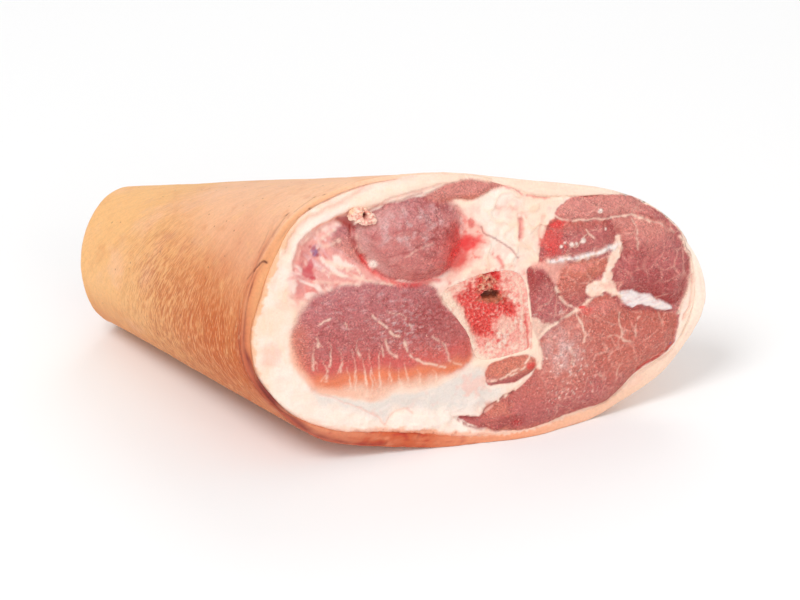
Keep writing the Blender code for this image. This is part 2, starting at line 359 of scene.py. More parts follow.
class Paint:
    """The colour, height and kind of some points of a surface, changed layer by layer."""

    def __init__(self, points, colour):
        self.points = points
        self.colour = np.tile(np.array(colour, float), (len(points), 1))
        self.height = np.zeros(len(points))
        self.meat = np.zeros(len(points))

    def blend(self, colour, amount):
        """Takes the colour towards another one by an amount from 0 to 1."""
        self.colour += np.clip(amount, 0, 1)[:, None] * (np.array(colour) - self.colour)

    def mottle(self, colour, amount, low, high, size, seed, layers=4):
        """Blends a colour in where noise of some size rises from low to high."""
        self.blend(colour, amount * step(low, high, rough_noise(self.points, size, seed, layers)))

    def line(self, colour, width, strength, line, height=0.0, broken=0.0, wander=0.5, seed=0, taper=0.0):
        """A soft line that wanders a little, broken up by noise, raised or sunk, widening to its end."""
        shift = shifts(self.points, 4.0, (900 + seed, 950 + seed))
        shift += 0.4 * shifts(self.points, 1.5, (800 + seed, 850 + seed))
        distance = off_line(self.points + wander * shift, line)
        chosen = distance < FAR
        if taper:
            start, end = np.array(line[0]), np.array(line[-1])
            share = np.clip((self.points - start) @ (end - start) / ((end - start) ** 2).sum(), 0, 1)
            width = width * (1 + taper * share**2)
            strength = strength * (0.35 + 0.65 * share)
        mark = np.where(chosen, bump(distance, width), 0)
        if broken:
            mark *= step(broken - 0.6, broken + 0.2, noise(self.points, 2.2, 970 + seed) + 0.4)
        self.blend(colour, strength * mark)
        self.height += height * mark
        return strength * mark

    def spot(self, colour, place, size, strength, height=0.0, ragged=0.35, seed=0):
        """A soft spot with a ragged edge."""
        arms = (self.points - np.array(place)) / np.array(size)
        radius = np.hypot(arms[:, 0], arms[:, 1]) + ragged * rough_noise(self.points, 3.0, 700 + seed, 3)
        mark = 1 - step(0.45, 1.2, radius)
        self.blend(colour, strength * mark)
        self.height += height * mark

    def spots(self, rows):
        """Several spots: colour, place, size, strength, height, raggedness and seed of each."""
        for row in rows:
            self.spot(*row)

    def area(self, colour, outline, softness, strength, height=0.0, ragged=0.6, seed=0):
        """A filled outline with a soft ragged edge."""
        shift = shifts(self.points, 3.2, (600 + seed, 650 + seed), 3)
        mark = step(-softness, softness, depth_inside(self.points + ragged * shift, outline))
        self.blend(colour, strength * mark)
        self.height += height * mark
        return mark


# The muscles that the thick cut crosses: outline, how far each stands out, how wide its shoulder
# is, and its colours from top to bottom.
MUSCLES = {
    "rear_mass": (
        ((22.6, 12.6), (27.0, 15.0), (29.5, 24.0), (34.0, 31.5), (37.0, 36.4), (43.0, 38.6),
         (55.0, 37.6), (66.1, 35.4), (71.4, 31.6), (77.5, 28.0), (85.8, 19.0), (90.8, 8.0), (89.8, -3.5),
         (86.0, -11.0), (84.6, -17.0), (81.0, -28.0), (72.0, -33.3), (65.4, -36.5), (59.4, -41.8),
         (52.0, -46.6), (42.0, -47.8), (24.8, -50.0), (8.2, -49.8), (-4.6, -45.0), (-8.6, -41.6),
         (0.4, -42.4), (8.0, -38.6), (15.2, -34.8), (21.5, -31.0), (26.4, -26.6), (27.2, -20.8),
         (24.9, -16.0), (23.6, -8.0), (23.0, 2.0)),
        0.8, 3.0, (ROSE, ROSE, ROSE),
    ),
    "left_slip": (
        ((-53.6, 36.2), (-51.7, 39.8), (-48.6, 41.6), (-45.5, 39.5), (-44.9, 36.1), (-43.7, 32.0),
         (-41.6, 27.2), (-36.0, 21.0), (-42.0, 24.0), (-49.6, 31.0), (-52.9, 33.6)),
        0.3, 3.0, (MAUVE, BLUSH, FASCIA),
    ),
    "shank_front": (
        ((-71.6, 1.4), (-70.2, 5.0), (-64.4, 13.8), (-57.0, 17.2), (-42.8, 18.1), (-28.0, 15.3),
         (-15.4, 12.4), (-13.0, 7.3), (-8.9, 1.1), (-5.0, -3.6), (-2.4, -10.0), (-0.8, -17.6),
         (-4.5, -21.4), (-12.0, -24.6), (-23.0, -27.1), (-32.0, -26.2), (-41.2, -28.1), (-50.7, -25.0),
         (-56.1, -23.4), (-62.1, -20.9), (-66.5, -16.6), (-70.1, -10.4), (-71.7, -4.6)),
        2.8, 5.5, (MAUVE, ROSE, SALMON),
    ),
    "upper_oval": (
        ((-44.9, 38.8), (-41.6, 42.4), (-32.7, 46.4), (-24.0, 47.6), (-16.0, 47.6), (-8.5, 45.4),
         (-4.0, 41.0), (-2.9, 34.0), (-3.6, 27.0), (-6.0, 20.4), (-12.0, 15.8), (-21.0, 14.8),
         (-29.5, 16.8), (-36.0, 20.8), (-41.4, 27.6), (-44.2, 33.0)),
        5.6, 5.0, (PALE_MAUVE, ROSY, ROSY),
    ),
    "top_strip": (
        ((-16.6, 47.4), (-11.9, 50.0), (-5.8, 51.6), (1.0, 51.6), (8.2, 49.8), (15.0, 47.6), (9.4, 46.0),
         (5.0, 44.4), (1.0, 43.6), (-4.1, 44.9), (-9.0, 44.3), (-13.8, 45.1)),
        0.7, 2.5, (BLUSH, BLUSH, SALMON),
    ),
    "rear_top": (
        ((35.4, 33.4), (40.5, 38.4), (49.0, 38.4), (58.4, 37.2), (66.6, 35.0), (71.0, 31.4), (76.5, 27.6),
         (74.6, 24.6), (67.6, 27.6), (59.0, 28.8), (49.0, 29.2), (40.0, 30.4)),
        1.3, 4.0, (BLUSH, BLUSH, ROSE),
    ),
    "rear_red": (
        ((29.6, 24.0), (32.6, 31.0), (40.0, 29.8), (49.0, 28.6), (55.6, 26.8), (58.6, 22.4), (59.4, 18.0),
         (53.0, 16.2), (44.0, 15.4), (35.0, 15.6), (28.6, 16.6)),
        1.4, 2.6, (BRICK, ROSE, ROSE),
    ),
    "rear_big": (
        ((57.4, 27.8), (66.0, 27.6), (74.6, 25.4), (79.6, 23.6), (84.4, 18.0), (88.6, 9.6), (89.0, 1.0),
         (86.6, -6.6), (82.4, -10.6), (77.4, -8.4), (71.5, -4.6), (65.0, -2.2), (60.4, -1.2), (58.2, 2.6),
         (58.6, 8.5), (61.8, 12.6), (61.6, 17.0), (59.0, 22.8)),
        3.4, 4.0, (BLUSH, ROSE, DEEP),
    ),
    "rear_inner": (
        ((33.4, 8.6), (38.4, 12.6), (46.0, 13.4), (53.0, 12.8), (55.6, 11.6), (53.4, 7.4), (48.6, 4.4),
         (46.0, 1.4), (46.0, -2.0), (43.0, -5.0), (38.8, -2.8), (35.0, 0.6)),
        1.0, 2.4, (SALMON, BRICK, ROSE),
    ),
    "by_bone": (
        ((22.8, 11.8), (26.0, 12.2), (30.6, 9.4), (33.6, 2.7), (36.4, -1.7), (40.6, -5.6), (37.5, -8.4),
         (31.5, -10.4), (28.0, -12.4), (25.2, -15.6), (23.6, -10.7), (23.0, -2.5)),
        1.0, 2.4, (DEEP, ROSE, ROSE),
    ),
    "rear_low": (
        ((26.4, -24.0), (26.2, -17.0), (33.0, -11.6), (41.4, -6.8), (46.6, -3.8), (52.8, -2.0),
         (57.2, -4.2), (62.0, -8.8), (70.0, -10.6), (78.1, -13.0), (83.6, -14.6), (83.0, -20.3),
         (80.1, -28.6), (72.0, -33.0), (65.4, -36.3), (59.4, -41.4), (52.0, -46.2), (42.0, -47.3),
         (24.8, -49.7), (8.2, -49.5), (-4.6, -44.8), (-8.4, -41.6), (0.4, -42.4), (8.0, -38.4),
         (15.2, -34.6), (21.5, -30.6)),
        3.0, 4.6, (BRICK, BRICK, ROSE),
    ),
    "under_bone": (
        ((3.6, -28.4), (4.4, -24.0), (8.0, -21.9), (14.0, -21.0), (21.0, -21.0), (24.4, -23.4),
         (24.6, -27.0), (20.6, -29.6), (14.4, -31.4), (8.0, -31.6), (4.2, -30.9)),
        1.0, 2.0, (SALMON, SALMON, ROSE),
    ),
}

# Pale seams and veins between and in the muscles, and a painted highlight along the round muscle's left rim:
# width, strength, height, and the points they run through.
PALE_LINES = (
    (1.15, 1.0, 0.8, ((31.0, 15.2), (38.6, 14.8), (46.0, 14.8), (52.0, 15.7), (59.5, 17.4))),
    (0.45, 0.75, 0.15, ((33.5, 32.6), (39.3, 30.2), (46.6, 29.3), (51.0, 28.9), (56.2, 28.4))),
    (0.5, 0.85, 0.15, ((56.2, 28.4), (59.9, 28.7), (64.4, 28.2), (69.5, 26.7), (73.2, 24.6))),
    (0.35, 0.4, 0.1, ((73.2, 24.6), (79.0, 22.4), (84.0, 17.5))),
    (0.35, 0.6, 0.0, ((65.8, 27.3), (66.8, 23.5), (66.3, 19.2), (67.2, 14.7))),
    (0.7, 0.9, 0.2, ((46.7, -3.2), (43.6, -5.6), (41.4, -6.2), (37.5, -8.3), (31.5, -11.2), (27.4, -14.0),
                     (25.6, -17.5))),
    (0.6, 0.85, 0.1, ((55.9, 0.4), (58.5, -2.6), (60.6, -5.6))),
    (0.6, 0.8, 0.1, ((41.4, -6.0), (37.8, -3.2), (35.7, -0.7), (33.4, 4.0))),
    (0.4, 0.8, 0.0, ((41.4, -6.2), (42.3, -10.6), (43.6, -15.2), (42.9, -18.5))),
    (0.35, 0.7, 0.0, ((46.4, 25.6), (47.5, 23.9), (49.3, 21.7))),
    (0.3, 0.6, 0.0, ((47.5, 23.9), (45.5, 23.1), (43.0, 20.6), (39.5, 19.6))),
    (0.35, 0.55, 0.0, ((58.5, -9.9), (58.6, -16.2), (59.5, -20.6), (63.0, -21.9))),
    (0.3, 0.4, 0.0, ((53.2, -18.1), (57.4, -18.5), (60.2, -21.4))),
    (0.35, 0.5, 0.0, ((64.4, -20.0), (65.1, -15.2), (68.4, -11.5))),
    (0.3, 0.35, 0.0, ((75.6, -12.0), (76.1, -17.7))),
    (0.3, 0.4, 0.0, ((57.0, -30.0), (56.1, -34.8))),
    (0.3, 0.45, 0.0, ((47.0, -31.1), (49.7, -34.4))),
    (0.3, 0.4, 0.0, ((63.6, -26.9), (64.2, -29.9))),
    (0.7, 0.45, 0.0, ((37.3, -20.4), (38.4, -24.0), (37.4, -27.4))),
    (0.5, 0.9, 0.0, ((11.5, -27.9), (17.3, -25.4), (21.6, -22.6))),
    (0.5, 0.85, 0.0, ((4.5, -29.1), (10.1, -28.7), (15.8, -27.2), (21.5, -24.7))),
    (0.45, 0.8, 0.15, ((-40.4, 5.4), (-35.9, 0.6), (-32.9, -3.1), (-29.1, -6.2), (-26.3, -13.2),
                       (-18.5, -17.9), (-12.9, -20.5))),
    (0.5, 0.6, 0.1, ((-36.2, -4.2), (-35.0, -10.1), (-32.0, -12.3))),
    (0.3, 0.55, 0.0, ((-33.9, 6.0), (-28.5, 3.5), (-25.6, -1.9))),
    (0.4, 0.8, 0.1, ((-60.9, 5.8), (-57.4, 7.0))),
    (0.35, 0.6, 0.1, ((-51.6, 4.9), (-51.0, 2.3))),
    (0.4, 0.5, 0.0, ((-17.7, -6.5), (-13.1, -11.4), (-11.1, -17.5), (-6.3, -20.8))),
    (0.4, 0.30, 0.0, ((-27.6, 27.3), (-21.8, 29.2), (-15.9, 30.9))),
    # A painted highlight just inside the round muscle's left rim.
    (0.5, 0.30, 0.0, ((-43.6, 37.0), (-44.0, 34.6), (-42.6, 31.2), (-40.2, 27.4), (-37.2, 23.4))),
    (0.8, 0.55, 0.3, ((-58.4, 36.9), (-55.0, 38.7), (-52.3, 40.6))),
    (0.8, 0.55, 0.3, ((-57.9, 35.0), (-53.9, 34.6), (-50.6, 36.1))),
    (0.7, 0.85, 0.2, ((-55.8, 28.6), (-52.0, 26.0), (-48.2, 24.1))),
    (0.6, 0.7, 0.2, ((-52.0, 26.7), (-45.6, 24.3), (-41.9, 20.4))),
    (0.5, 0.7, 0.2, ((-47.1, 21.9), (-39.4, 18.4), (-35.5, 16.9), (-28.0, 14.6))),
    (0.6, 0.6, 0.2, ((-57.7, 25.1), (-49.0, 21.9), (-43.0, 19.4))),
    (0.7, 0.5, 0.2, ((-62.0, 21.6), (-52.0, 19.6), (-44.0, 18.2))),
)
# The fan of pale streaks at the foot of the big front muscle: top and bottom of each.
FAN = (
    ((-64.0, -1.9), (-64.8, -12.6)), ((-57.7, -2.2), (-58.7, -11.4)), ((-54.8, -5.1), (-54.2, -14.2)),
    ((-49.6, -6.0), (-48.8, -23.5)), ((-45.6, -10.8), (-45.0, -20.9)), ((-42.9, -7.1), (-42.1, -24.7)),
    ((-39.1, -10.2), (-39.1, -23.6)), ((-35.3, -14.2), (-34.6, -21.7)), ((-29.7, -14.3), (-27.1, -25.7)),
    ((-24.2, -18.6), (-23.0, -25.6)), ((-45.9, -15.6), (-44.2, -26.8)), ((-17.8, -19.7), (-16.4, -25.4)),
    ((-60.5, -8.5), (-60.0, -17.5)), ((-51.8, -13.0), (-50.4, -23.0)), ((-32.4, -16.5), (-30.6, -25.8)),
    ((-61.8, 3.0), (-62.4, -3.0)), ((-47.4, -3.0), (-46.8, -9.6)), ((-38.0, -4.6), (-37.6, -11.0)),
)
# Dark or bloody lines, the first two partly painted shade in the crevice round the round muscle: colour,
# width, strength, height, and the points they run through.
DARK_LINES = (
    # Dark red in the crevice along the round muscle's left and lower edge, partly blood and partly painted
    # shade.
    (CLOT, 0.9, 0.70, -0.6, ((-45.0, 40.2), (-45.6, 37.0), (-45.2, 34.4), (-43.6, 30.6), (-41.6, 26.6))),
    (BLOOD, 1.0, 0.7, -0.7, ((-42.6, 28.6), (-39.1, 22.8), (-35.3, 19.3), (-30.8, 16.4), (-26.3, 14.7),
                             (-20.3, 14.1), (-13.0, 14.4))),
    (CLOT, 0.6, 0.35, -0.3, ((-40.0, 45.6), (-33.0, 46.8), (-26.0, 47.6), (-21.9, 48.7), (-17.2, 49.2))),
    (DEEP, 0.4, 0.6, -0.4, ((5.0, 32.8), (5.9, 30.3), (8.5, 28.3), (11.8, 26.0), (15.1, 23.3),
                            (18.9, 18.6))),
    (BRIGHT_RED, 0.9, 0.65, -0.3, ((9.4, 21.0), (11.4, 18.7), (12.7, 15.1))),
    (FASCIA, 1.0, 0.85, -1.4, ((20.7, 34.4), (21.0, 30.7), (20.6, 26.2))),
    (BRIGHT_RED, 0.5, 0.5, -0.3, ((22.7, -8.9), (22.6, -18.6))),
    (PINK_FAT, 0.4, 0.40, -0.3, ((-62.3, -23.7), (-57.6, -25.2), (-53.7, -27.7), (-48.4, -30.8),
                                 (-44.4, -33.3), (-41.1, -35.3), (-37.9, -40.2))),
    (PINK_FAT, 0.4, 0.40, -0.3, ((-37.9, -39.4), (-35.2, -36.4), (-30.5, -34.6), (-26.5, -36.6))),
    (DEEP, 0.55, 0.7, -0.7, ((-10.1, -41.4), (-5.3, -45.4), (4.6, -48.8), (12.9, -50.0))),
    (DEEP, 0.6, 0.75, -1.0, ((-9.4, -41.7), (-0.4, -42.8), (2.5, -40.5), (6.8, -38.4), (11.1, -36.3),
                             (13.9, -35.4))),
    (BRIGHT_RED, 0.9, 0.6, -0.5, ((65.6, -35.1), (70.9, -32.9), (75.7, -30.4), (80.2, -27.6))),
    (DEEP, 0.4, 0.55, -0.35, ((-16.3, 32.4), (-21.8, 30.5), (-27.2, 28.7), (-33.0, 28.0))),
    (DEEP, 0.4, 0.55, -0.35, ((-16.3, 32.4), (-14.0, 36.7), (-13.0, 42.8))),
    (DEEP, 0.4, 0.55, -0.35, ((-16.3, 32.4), (-10.3, 31.8), (-4.9, 31.9))),
    (DEEP, 0.35, 0.5, -0.3, ((-16.3, 32.4), (-18.8, 34.7), (-23.7, 37.1), (-30.0, 37.4))),
    (DEEP, 0.4, 0.6, -0.35, ((-14.3, 31.4), (-9.8, 28.0), (-6.0, 24.1))),
    (DEEP, 0.35, 0.5, -0.3, ((-10.1, 34.1), (-7.6, 31.0), (-5.1, 28.0))),
    (DEEP, 0.7, 0.5, -0.6, ((-12.4, 7.6), (-8.4, 1.4), (-4.6, -3.8), (-1.8, -9.6), (-0.6, -17.0))),
    (DEEP, 0.7, 0.45, -0.4, ((57.0, -3.6), (61.6, -8.8), (70.0, -11.0), (80.0, -13.2))),
    (FASCIA, 0.5, 0.75, -0.5, ((14.3, 47.6), (20.2, 44.6), (23.1, 42.6), (27.6, 40.8), (33.0, 40.0))),
    (DEEP, 0.7, 0.40, -0.3, ((56.1, 26.9), (59.6, 23.3), (61.0, 19.4), (62.8, 15.5), (62.9, 11.9))),
    (FASCIA, 0.7, 0.55, -0.6, ((-6.1, 44.8), (-3.1, 39.7), (0.1, 35.8), (4.0, 32.6))),
    (PINK_FAT, 0.7, 0.55, -0.5, ((11.1, 39.5), (16.5, 38.0), (21.9, 35.9), (23.5, 33.6))),
    (BRIGHT_RED, 0.45, 0.55, -0.3, ((-5.1, 33.9), (-3.4, 29.5), (-4.2, 25.0))),
    (PINK_FAT, 0.8, 0.5, -0.5, ((30.4, 22.0), (28.2, 27.0), (30.5, 33.0))),
)
# Folds of fat under the rind at the upper left, the sunk lines between them coloured partly as painted shade:
# colour, width, strength, height, and points.
FOLDS = (
    (CREAM, 2.0, 0.7, 0.8, ((-78.0, 24.0), (-75.6, 31.0), (-71.6, 38.5), (-66.5, 43.9), (-59.0, 47.6),
                            (-50.0, 50.4))),
    (WHITE_FAT, 2.0, 0.7, 1.0, ((-69.4, 31.0), (-67.6, 36.5), (-64.5, 40.6), (-59.0, 43.8), (-53.0, 46.2),
                                (-46.0, 48.2))),
    (CREAM, 3.2, 0.85, 1.5, ((-42.0, 48.6), (-34.0, 50.6), (-24.0, 52.0), (-14.0, 53.0), (-4.0, 53.0))),
    (PINK_FAT, 1.0, 0.35, -0.7, ((-70.7, 34.2), (-69.2, 38.6), (-66.4, 42.7), (-61.6, 45.9), (-56.2, 48.0),
                                (-50.2, 49.7), (-43.5, 52.0), (-40.1, 54.1))),
    (FASCIA, 0.9, 0.5, -1.0, ((-68.3, 26.9), (-67.1, 33.7), (-63.8, 38.4), (-60.1, 40.8), (-54.7, 42.9),
                               (-49.3, 44.6), (-45.3, 45.7))),
    (ORANGE_MEAT, 0.8, 0.45, -0.4, ((-60.0, 41.4), (-54.7, 43.6), (-49.3, 45.2), (-45.3, 46.3))),
    (PINK_FAT, 0.6, 0.4, -0.4, ((-36.7, 46.9), (-30.0, 49.0), (-20.0, 50.2), (-10.0, 51.9))),
)
FASCIA_AREA = (
    (-68.0, 30.0), (-64.4, 36.4), (-56.0, 40.6), (-47.5, 43.5), (-45.5, 36.0), (-41.0, 25.5), (-31.0, 16.5),
    (-20.0, 13.4), (-34.0, 16.6), (-50.0, 18.0), (-60.0, 16.6), (-69.0, 14.0), (-70.4, 22.0),
)
CLOT_AREA = (
    (-65.6, 25.6), (-63.8, 28.3), (-61.9, 29.8), (-61.0, 27.5), (-62.0, 26.2), (-60.7, 22.8), (-62.3, 22.6),
    (-63.8, 24.0),
)
# A sunk gap beside the shred of fat, its dark red partly clotted blood and partly painted shade.
POCKET = (
    (-50.7, 43.9), (-46.7, 44.6), (-44.7, 44.9), (-44.6, 42.1), (-44.2, 39.6), (-45.8, 39.2),
    (-48.2, 41.6),
)
PINK_ZONE = (
    (-3.6, 41.0), (-1.0, 39.0), (1.5, 36.3), (5.3, 32.4), (7.5, 28.5), (6.0, 24.0), (2.0, 19.0),
    (-6.0, 15.0), (-12.0, 13.6), (-8.0, 18.0), (-4.0, 24.0), (-3.0, 33.0),
)
BLOOD_BRIGHT = (
    (-2.8, 30.0), (1.1, 29.9), (5.6, 27.7), (3.4, 25.8), (0.8, 24.0), (-2.0, 23.6), (-3.6, 25.7),
)
BLOOD_WIDE = (
    (-5.2, 27.0), (-1.6, 24.0), (-0.4, 20.6), (-4.0, 17.5), (-8.4, 17.4), (-10.0, 21.4), (-8.0, 26.0),
)
FAT_COLUMN = (
    (59.9, 20.6), (61.4, 17.9), (61.8, 14.2), (58.7, 11.0), (56.8, 6.3), (57.0, 2.9), (58.1, 0.1),
    (59.8, -3.8), (57.2, -3.0), (52.8, -1.0), (49.0, -2.6), (47.4, -3.3), (45.8, 0.6), (46.6, 3.6),
    (51.4, 4.4), (54.0, 8.4), (55.9, 12.8), (57.6, 16.6),
)
PALE_GAP = (
    (24.4, 15.6), (31.0, 14.9), (38.0, 14.2), (38.4, 12.8), (35.4, 9.4), (33.6, 5.4), (31.4, 8.4),
    (28.4, 12.6), (24.6, 13.0),
)
TENDON_PLATE = (
    (58.6, -1.0), (61.0, -1.7), (64.8, -2.3), (70.7, -4.7), (76.7, -8.0), (81.1, -11.4), (78.1, -12.4),
    (72.1, -10.2), (67.6, -8.1), (64.5, -9.0), (61.5, -7.6),
)
BLUISH_AREA = (
    (-64.2, -21.2), (-53.5, -25.8), (-41.2, -28.8), (-30.1, -27.6), (-16.0, -27.0), (-4.0, -23.4),
    (2.8, -24.0), (3.0, -31.0), (10.0, -33.5), (4.0, -38.5), (-8.0, -38.6), (-24.0, -36.4),
    (-34.0, -33.7), (-37.9, -38.2), (-44.5, -34.7), (-53.8, -29.8), (-62.2, -27.0),
)
WHITE_LOBE = (
    (-35.0, -37.7), (-30.5, -35.6), (-24.0, -37.6), (-12.0, -39.6), (-14.0, -43.6), (-26.0, -44.0),
    (-35.2, -42.0),
)
LOBE_RIGHT = ((24.9, -15.6), (26.9, -20.8), (26.7, -24.9), (25.4, -28.0), (23.9, -26.4), (24.6, -20.4))
BONE_FAT = ((23.2, -7.0), (28.5, -9.0), (31.5, -11.6), (27.2, -14.0), (24.7, -17.2), (23.0, -12.0))
MARROW_AREA = (
    (-6.0, 6.9), (-2.3, 9.1), (1.2, 10.6), (3.6, 14.2), (8.4, 14.8), (11.6, 11.6), (11.4, 6.9),
    (13.6, 2.6), (16.2, -0.2), (16.4, -3.9), (11.5, -3.8), (8.7, -4.6), (6.6, -7.8), (7.8, -10.7),
    (4.1, -11.4), (0.1, -8.6), (-2.4, -5.4), (-3.5, -1.1), (-6.0, 3.4),
)
BONE_LOWER = (
    (-2.6, -7.0), (5.0, -8.0), (9.0, -4.6), (16.6, -4.6), (19.0, 1.0), (20.6, -6.0), (20.6, -15.0),
    (13.0, -16.6), (3.0, -16.4), (-1.0, -13.0),
)
MARROW_PIT = ((4.4, 6.4), (7.2, 6.9), (10.2, 5.7), (9.4, 3.8), (6.6, 4.2), (4.4, 5.0))
CRUMBS = ((2.0, 8.6), (3.4, 12.6), (6.4, 14.0), (9.4, 11.4), (9.0, 7.6), (6.6, 6.8), (3.8, 6.9))
# Spots on the cut, painted before and after the clots in the membrane: colour, place, size, strength,
# height, raggedness, and the seed of the noise.
RED_SPOTS = (
    (BLOOD, (-5.6, 24.6), (2.6, 2.4), 0.7, 0.0, 0.6, 1),
    (BRIGHT_RED, (-4.6, 28.6), (4.4, 5.6), 0.45, 0.0, 0.8, 7),
    (BLOOD, (-2.2, 27.4), (2.6, 2.2), 0.55, 0.0, 0.9, 8),
    (BRIGHT_RED, (1.0, 34.5), (1.6, 2.2), 0.6, 0.0, 0.6, 4),
    (BRIGHT_RED, (-7.0, 33.0), (3.0, 6.0), 0.25, 0.0, 0.7, 5),
    (BLOOD, (36.0, 29.4), (4.2, 1.5), 0.7, 0.0, 0.5, 7),
    (BRIGHT_RED, (33.0, 22.0), (5.0, 7.5), 0.70, 0.0, 0.7, 8),
    (BLOOD, (32.6, 20.4), (2.2, 4.0), 0.2, 0.0, 0.7, 26),
    (BLOOD, (13.7, -46.6), (2.4, 1.6), 0.8, -0.4, 0.5, 9),
    (DEEP, (12.0, -45.6), (6.5, 3.4), 0.55, 0.0, 0.6, 10),
    (SALMON, (6.0, -40.5), (6.5, 3.0), 0.55, 0.0, 0.6, 27),
    (BLOOD, (44.0, -5.6), (1.5, 0.7), 0.95, -0.2, 0.3, 11),
    (BRIGHT_RED, (45.5, -7.0), (3.6, 1.6), 0.5, 0.0, 0.5, 12),
)
OTHER_SPOTS = (
    (FASCIA, (-67.1, 17.8), (2.2, 2.2), 0.4, 0.0, 0.6, 17),
    (BRIGHT_RED, (21.8, -25.8), (2.4, 1.8), 0.85, 0.0, 0.4, 18),
    (DEEP, (72.5, 1.0), (9.0, 6.0), 0.5, 0.0, 0.6, 19),
    (DEEP, (68.0, 10.0), (5.0, 8.0), 0.4, 0.0, 0.6, 20),
    (FASCIA, (53.0, -6.5), (9.0, 2.6), 0.4, 0.0, 0.6, 21),
    (FASCIA, (44.0, 11.0), (7.0, 1.8), 0.5, 0.0, 0.6, 22),
    (PINK_FAT, (-80.2, -4.5), (4.4, 5.5), 0.45, 0.0, 0.3, 23),
    (PINK_FAT, (-2.0, -30.0), (7.0, 4.0), 0.45, 0.0, 0.9, 24),
    (PURPLE, (80.1, -26.5), (0.8, 0.8), 0.8, 0.0, 0.1, 25),
)
# Small dark clots in the membrane, and drops of fat on the meat with their size.
CLOTS = ((-61.7, 35.0), (-60.5, 34.2), (-58.7, 33.6), (-59.2, 31.6), (-60.9, 32.4))
FAT_DROPS = (
    ((45.0, 21.7), 1.4), ((40.0, 20.8), 1.0), ((37.4, 21.9), 0.7), ((54.5, 24.7), 0.7), ((52.3, 32.2), 1.1),
    ((41.8, 21.2), 0.7), ((35.9, 20.7), 0.8), ((-38.4, 24.9), 1.9), ((-9.6, -42.0), 1.3),
)
# Strips of fat at the far right: colour, width, strength, height, and points.
RIGHT_STRIPS = (
    (CREAM, 0.8, 0.9, 0.5, ((86.2, 16.2), (89.6, 9.8), (91.1, 3.7), (89.8, -3.5), (86.6, -9.7),
                            (84.6, -14.4))),
    (PINK_FAT, 0.6, 0.8, -0.9, ((90.9, 0.0), (91.2, -6.0), (89.4, -12.0), (86.0, -18.0))),
    (CREAM, 1.2, 0.9, 0.7, ((91.8, -5.0), (90.6, -11.0), (87.6, -17.5), (84.2, -23.0))),
)
# Spots on the sawn bone: colour, place, size and strength.
BONE_SPOTS = (
    (BROWN, (7.4, 3.4), (4.6, 2.2), 0.7), (BROWN, (12.0, 2.6), (2.6, 2.6), 0.3),
    (BLOOD, (9.6, 12.6), (2.6, 2.2), 0.7), (BRIGHT_RED, (0.5, -8.2), (3.4, 3.0), 0.7),
    (BRIGHT_RED, (14.6, -0.5), (2.4, 3.4), 0.6), (BLOOD, (7.0, -9.8), (0.8, 0.8), 0.8),
    (BLOOD, (9.5, -13.6), (0.7, 0.6), 0.7), (BRIGHT_RED, (12.2, -16.0), (0.9, 0.7), 0.6),
    (BONE_WHITE, (12.5, -8.0), (3.6, 3.6), 0.4), (BLOOD, (18.6, -1.0), (0.6, 0.6), 0.7),
    (BLOOD, (20.6, -8.0), (0.5, 0.7), 0.6), (BLOOD, (-5.6, 6.2), (1.0, 1.2), 0.6),
)


def three_tone(colours, share):
    """Colours blended from the first at share 1, through the second, to the third at share 0."""
    top, middle, bottom = (np.array(c) for c in colours)
    low = step(0.0, 0.5, share)[:, None]
    high = step(0.5, 1.0, share)[:, None]
    return bottom + low * (middle - bottom) + high * (top - middle)


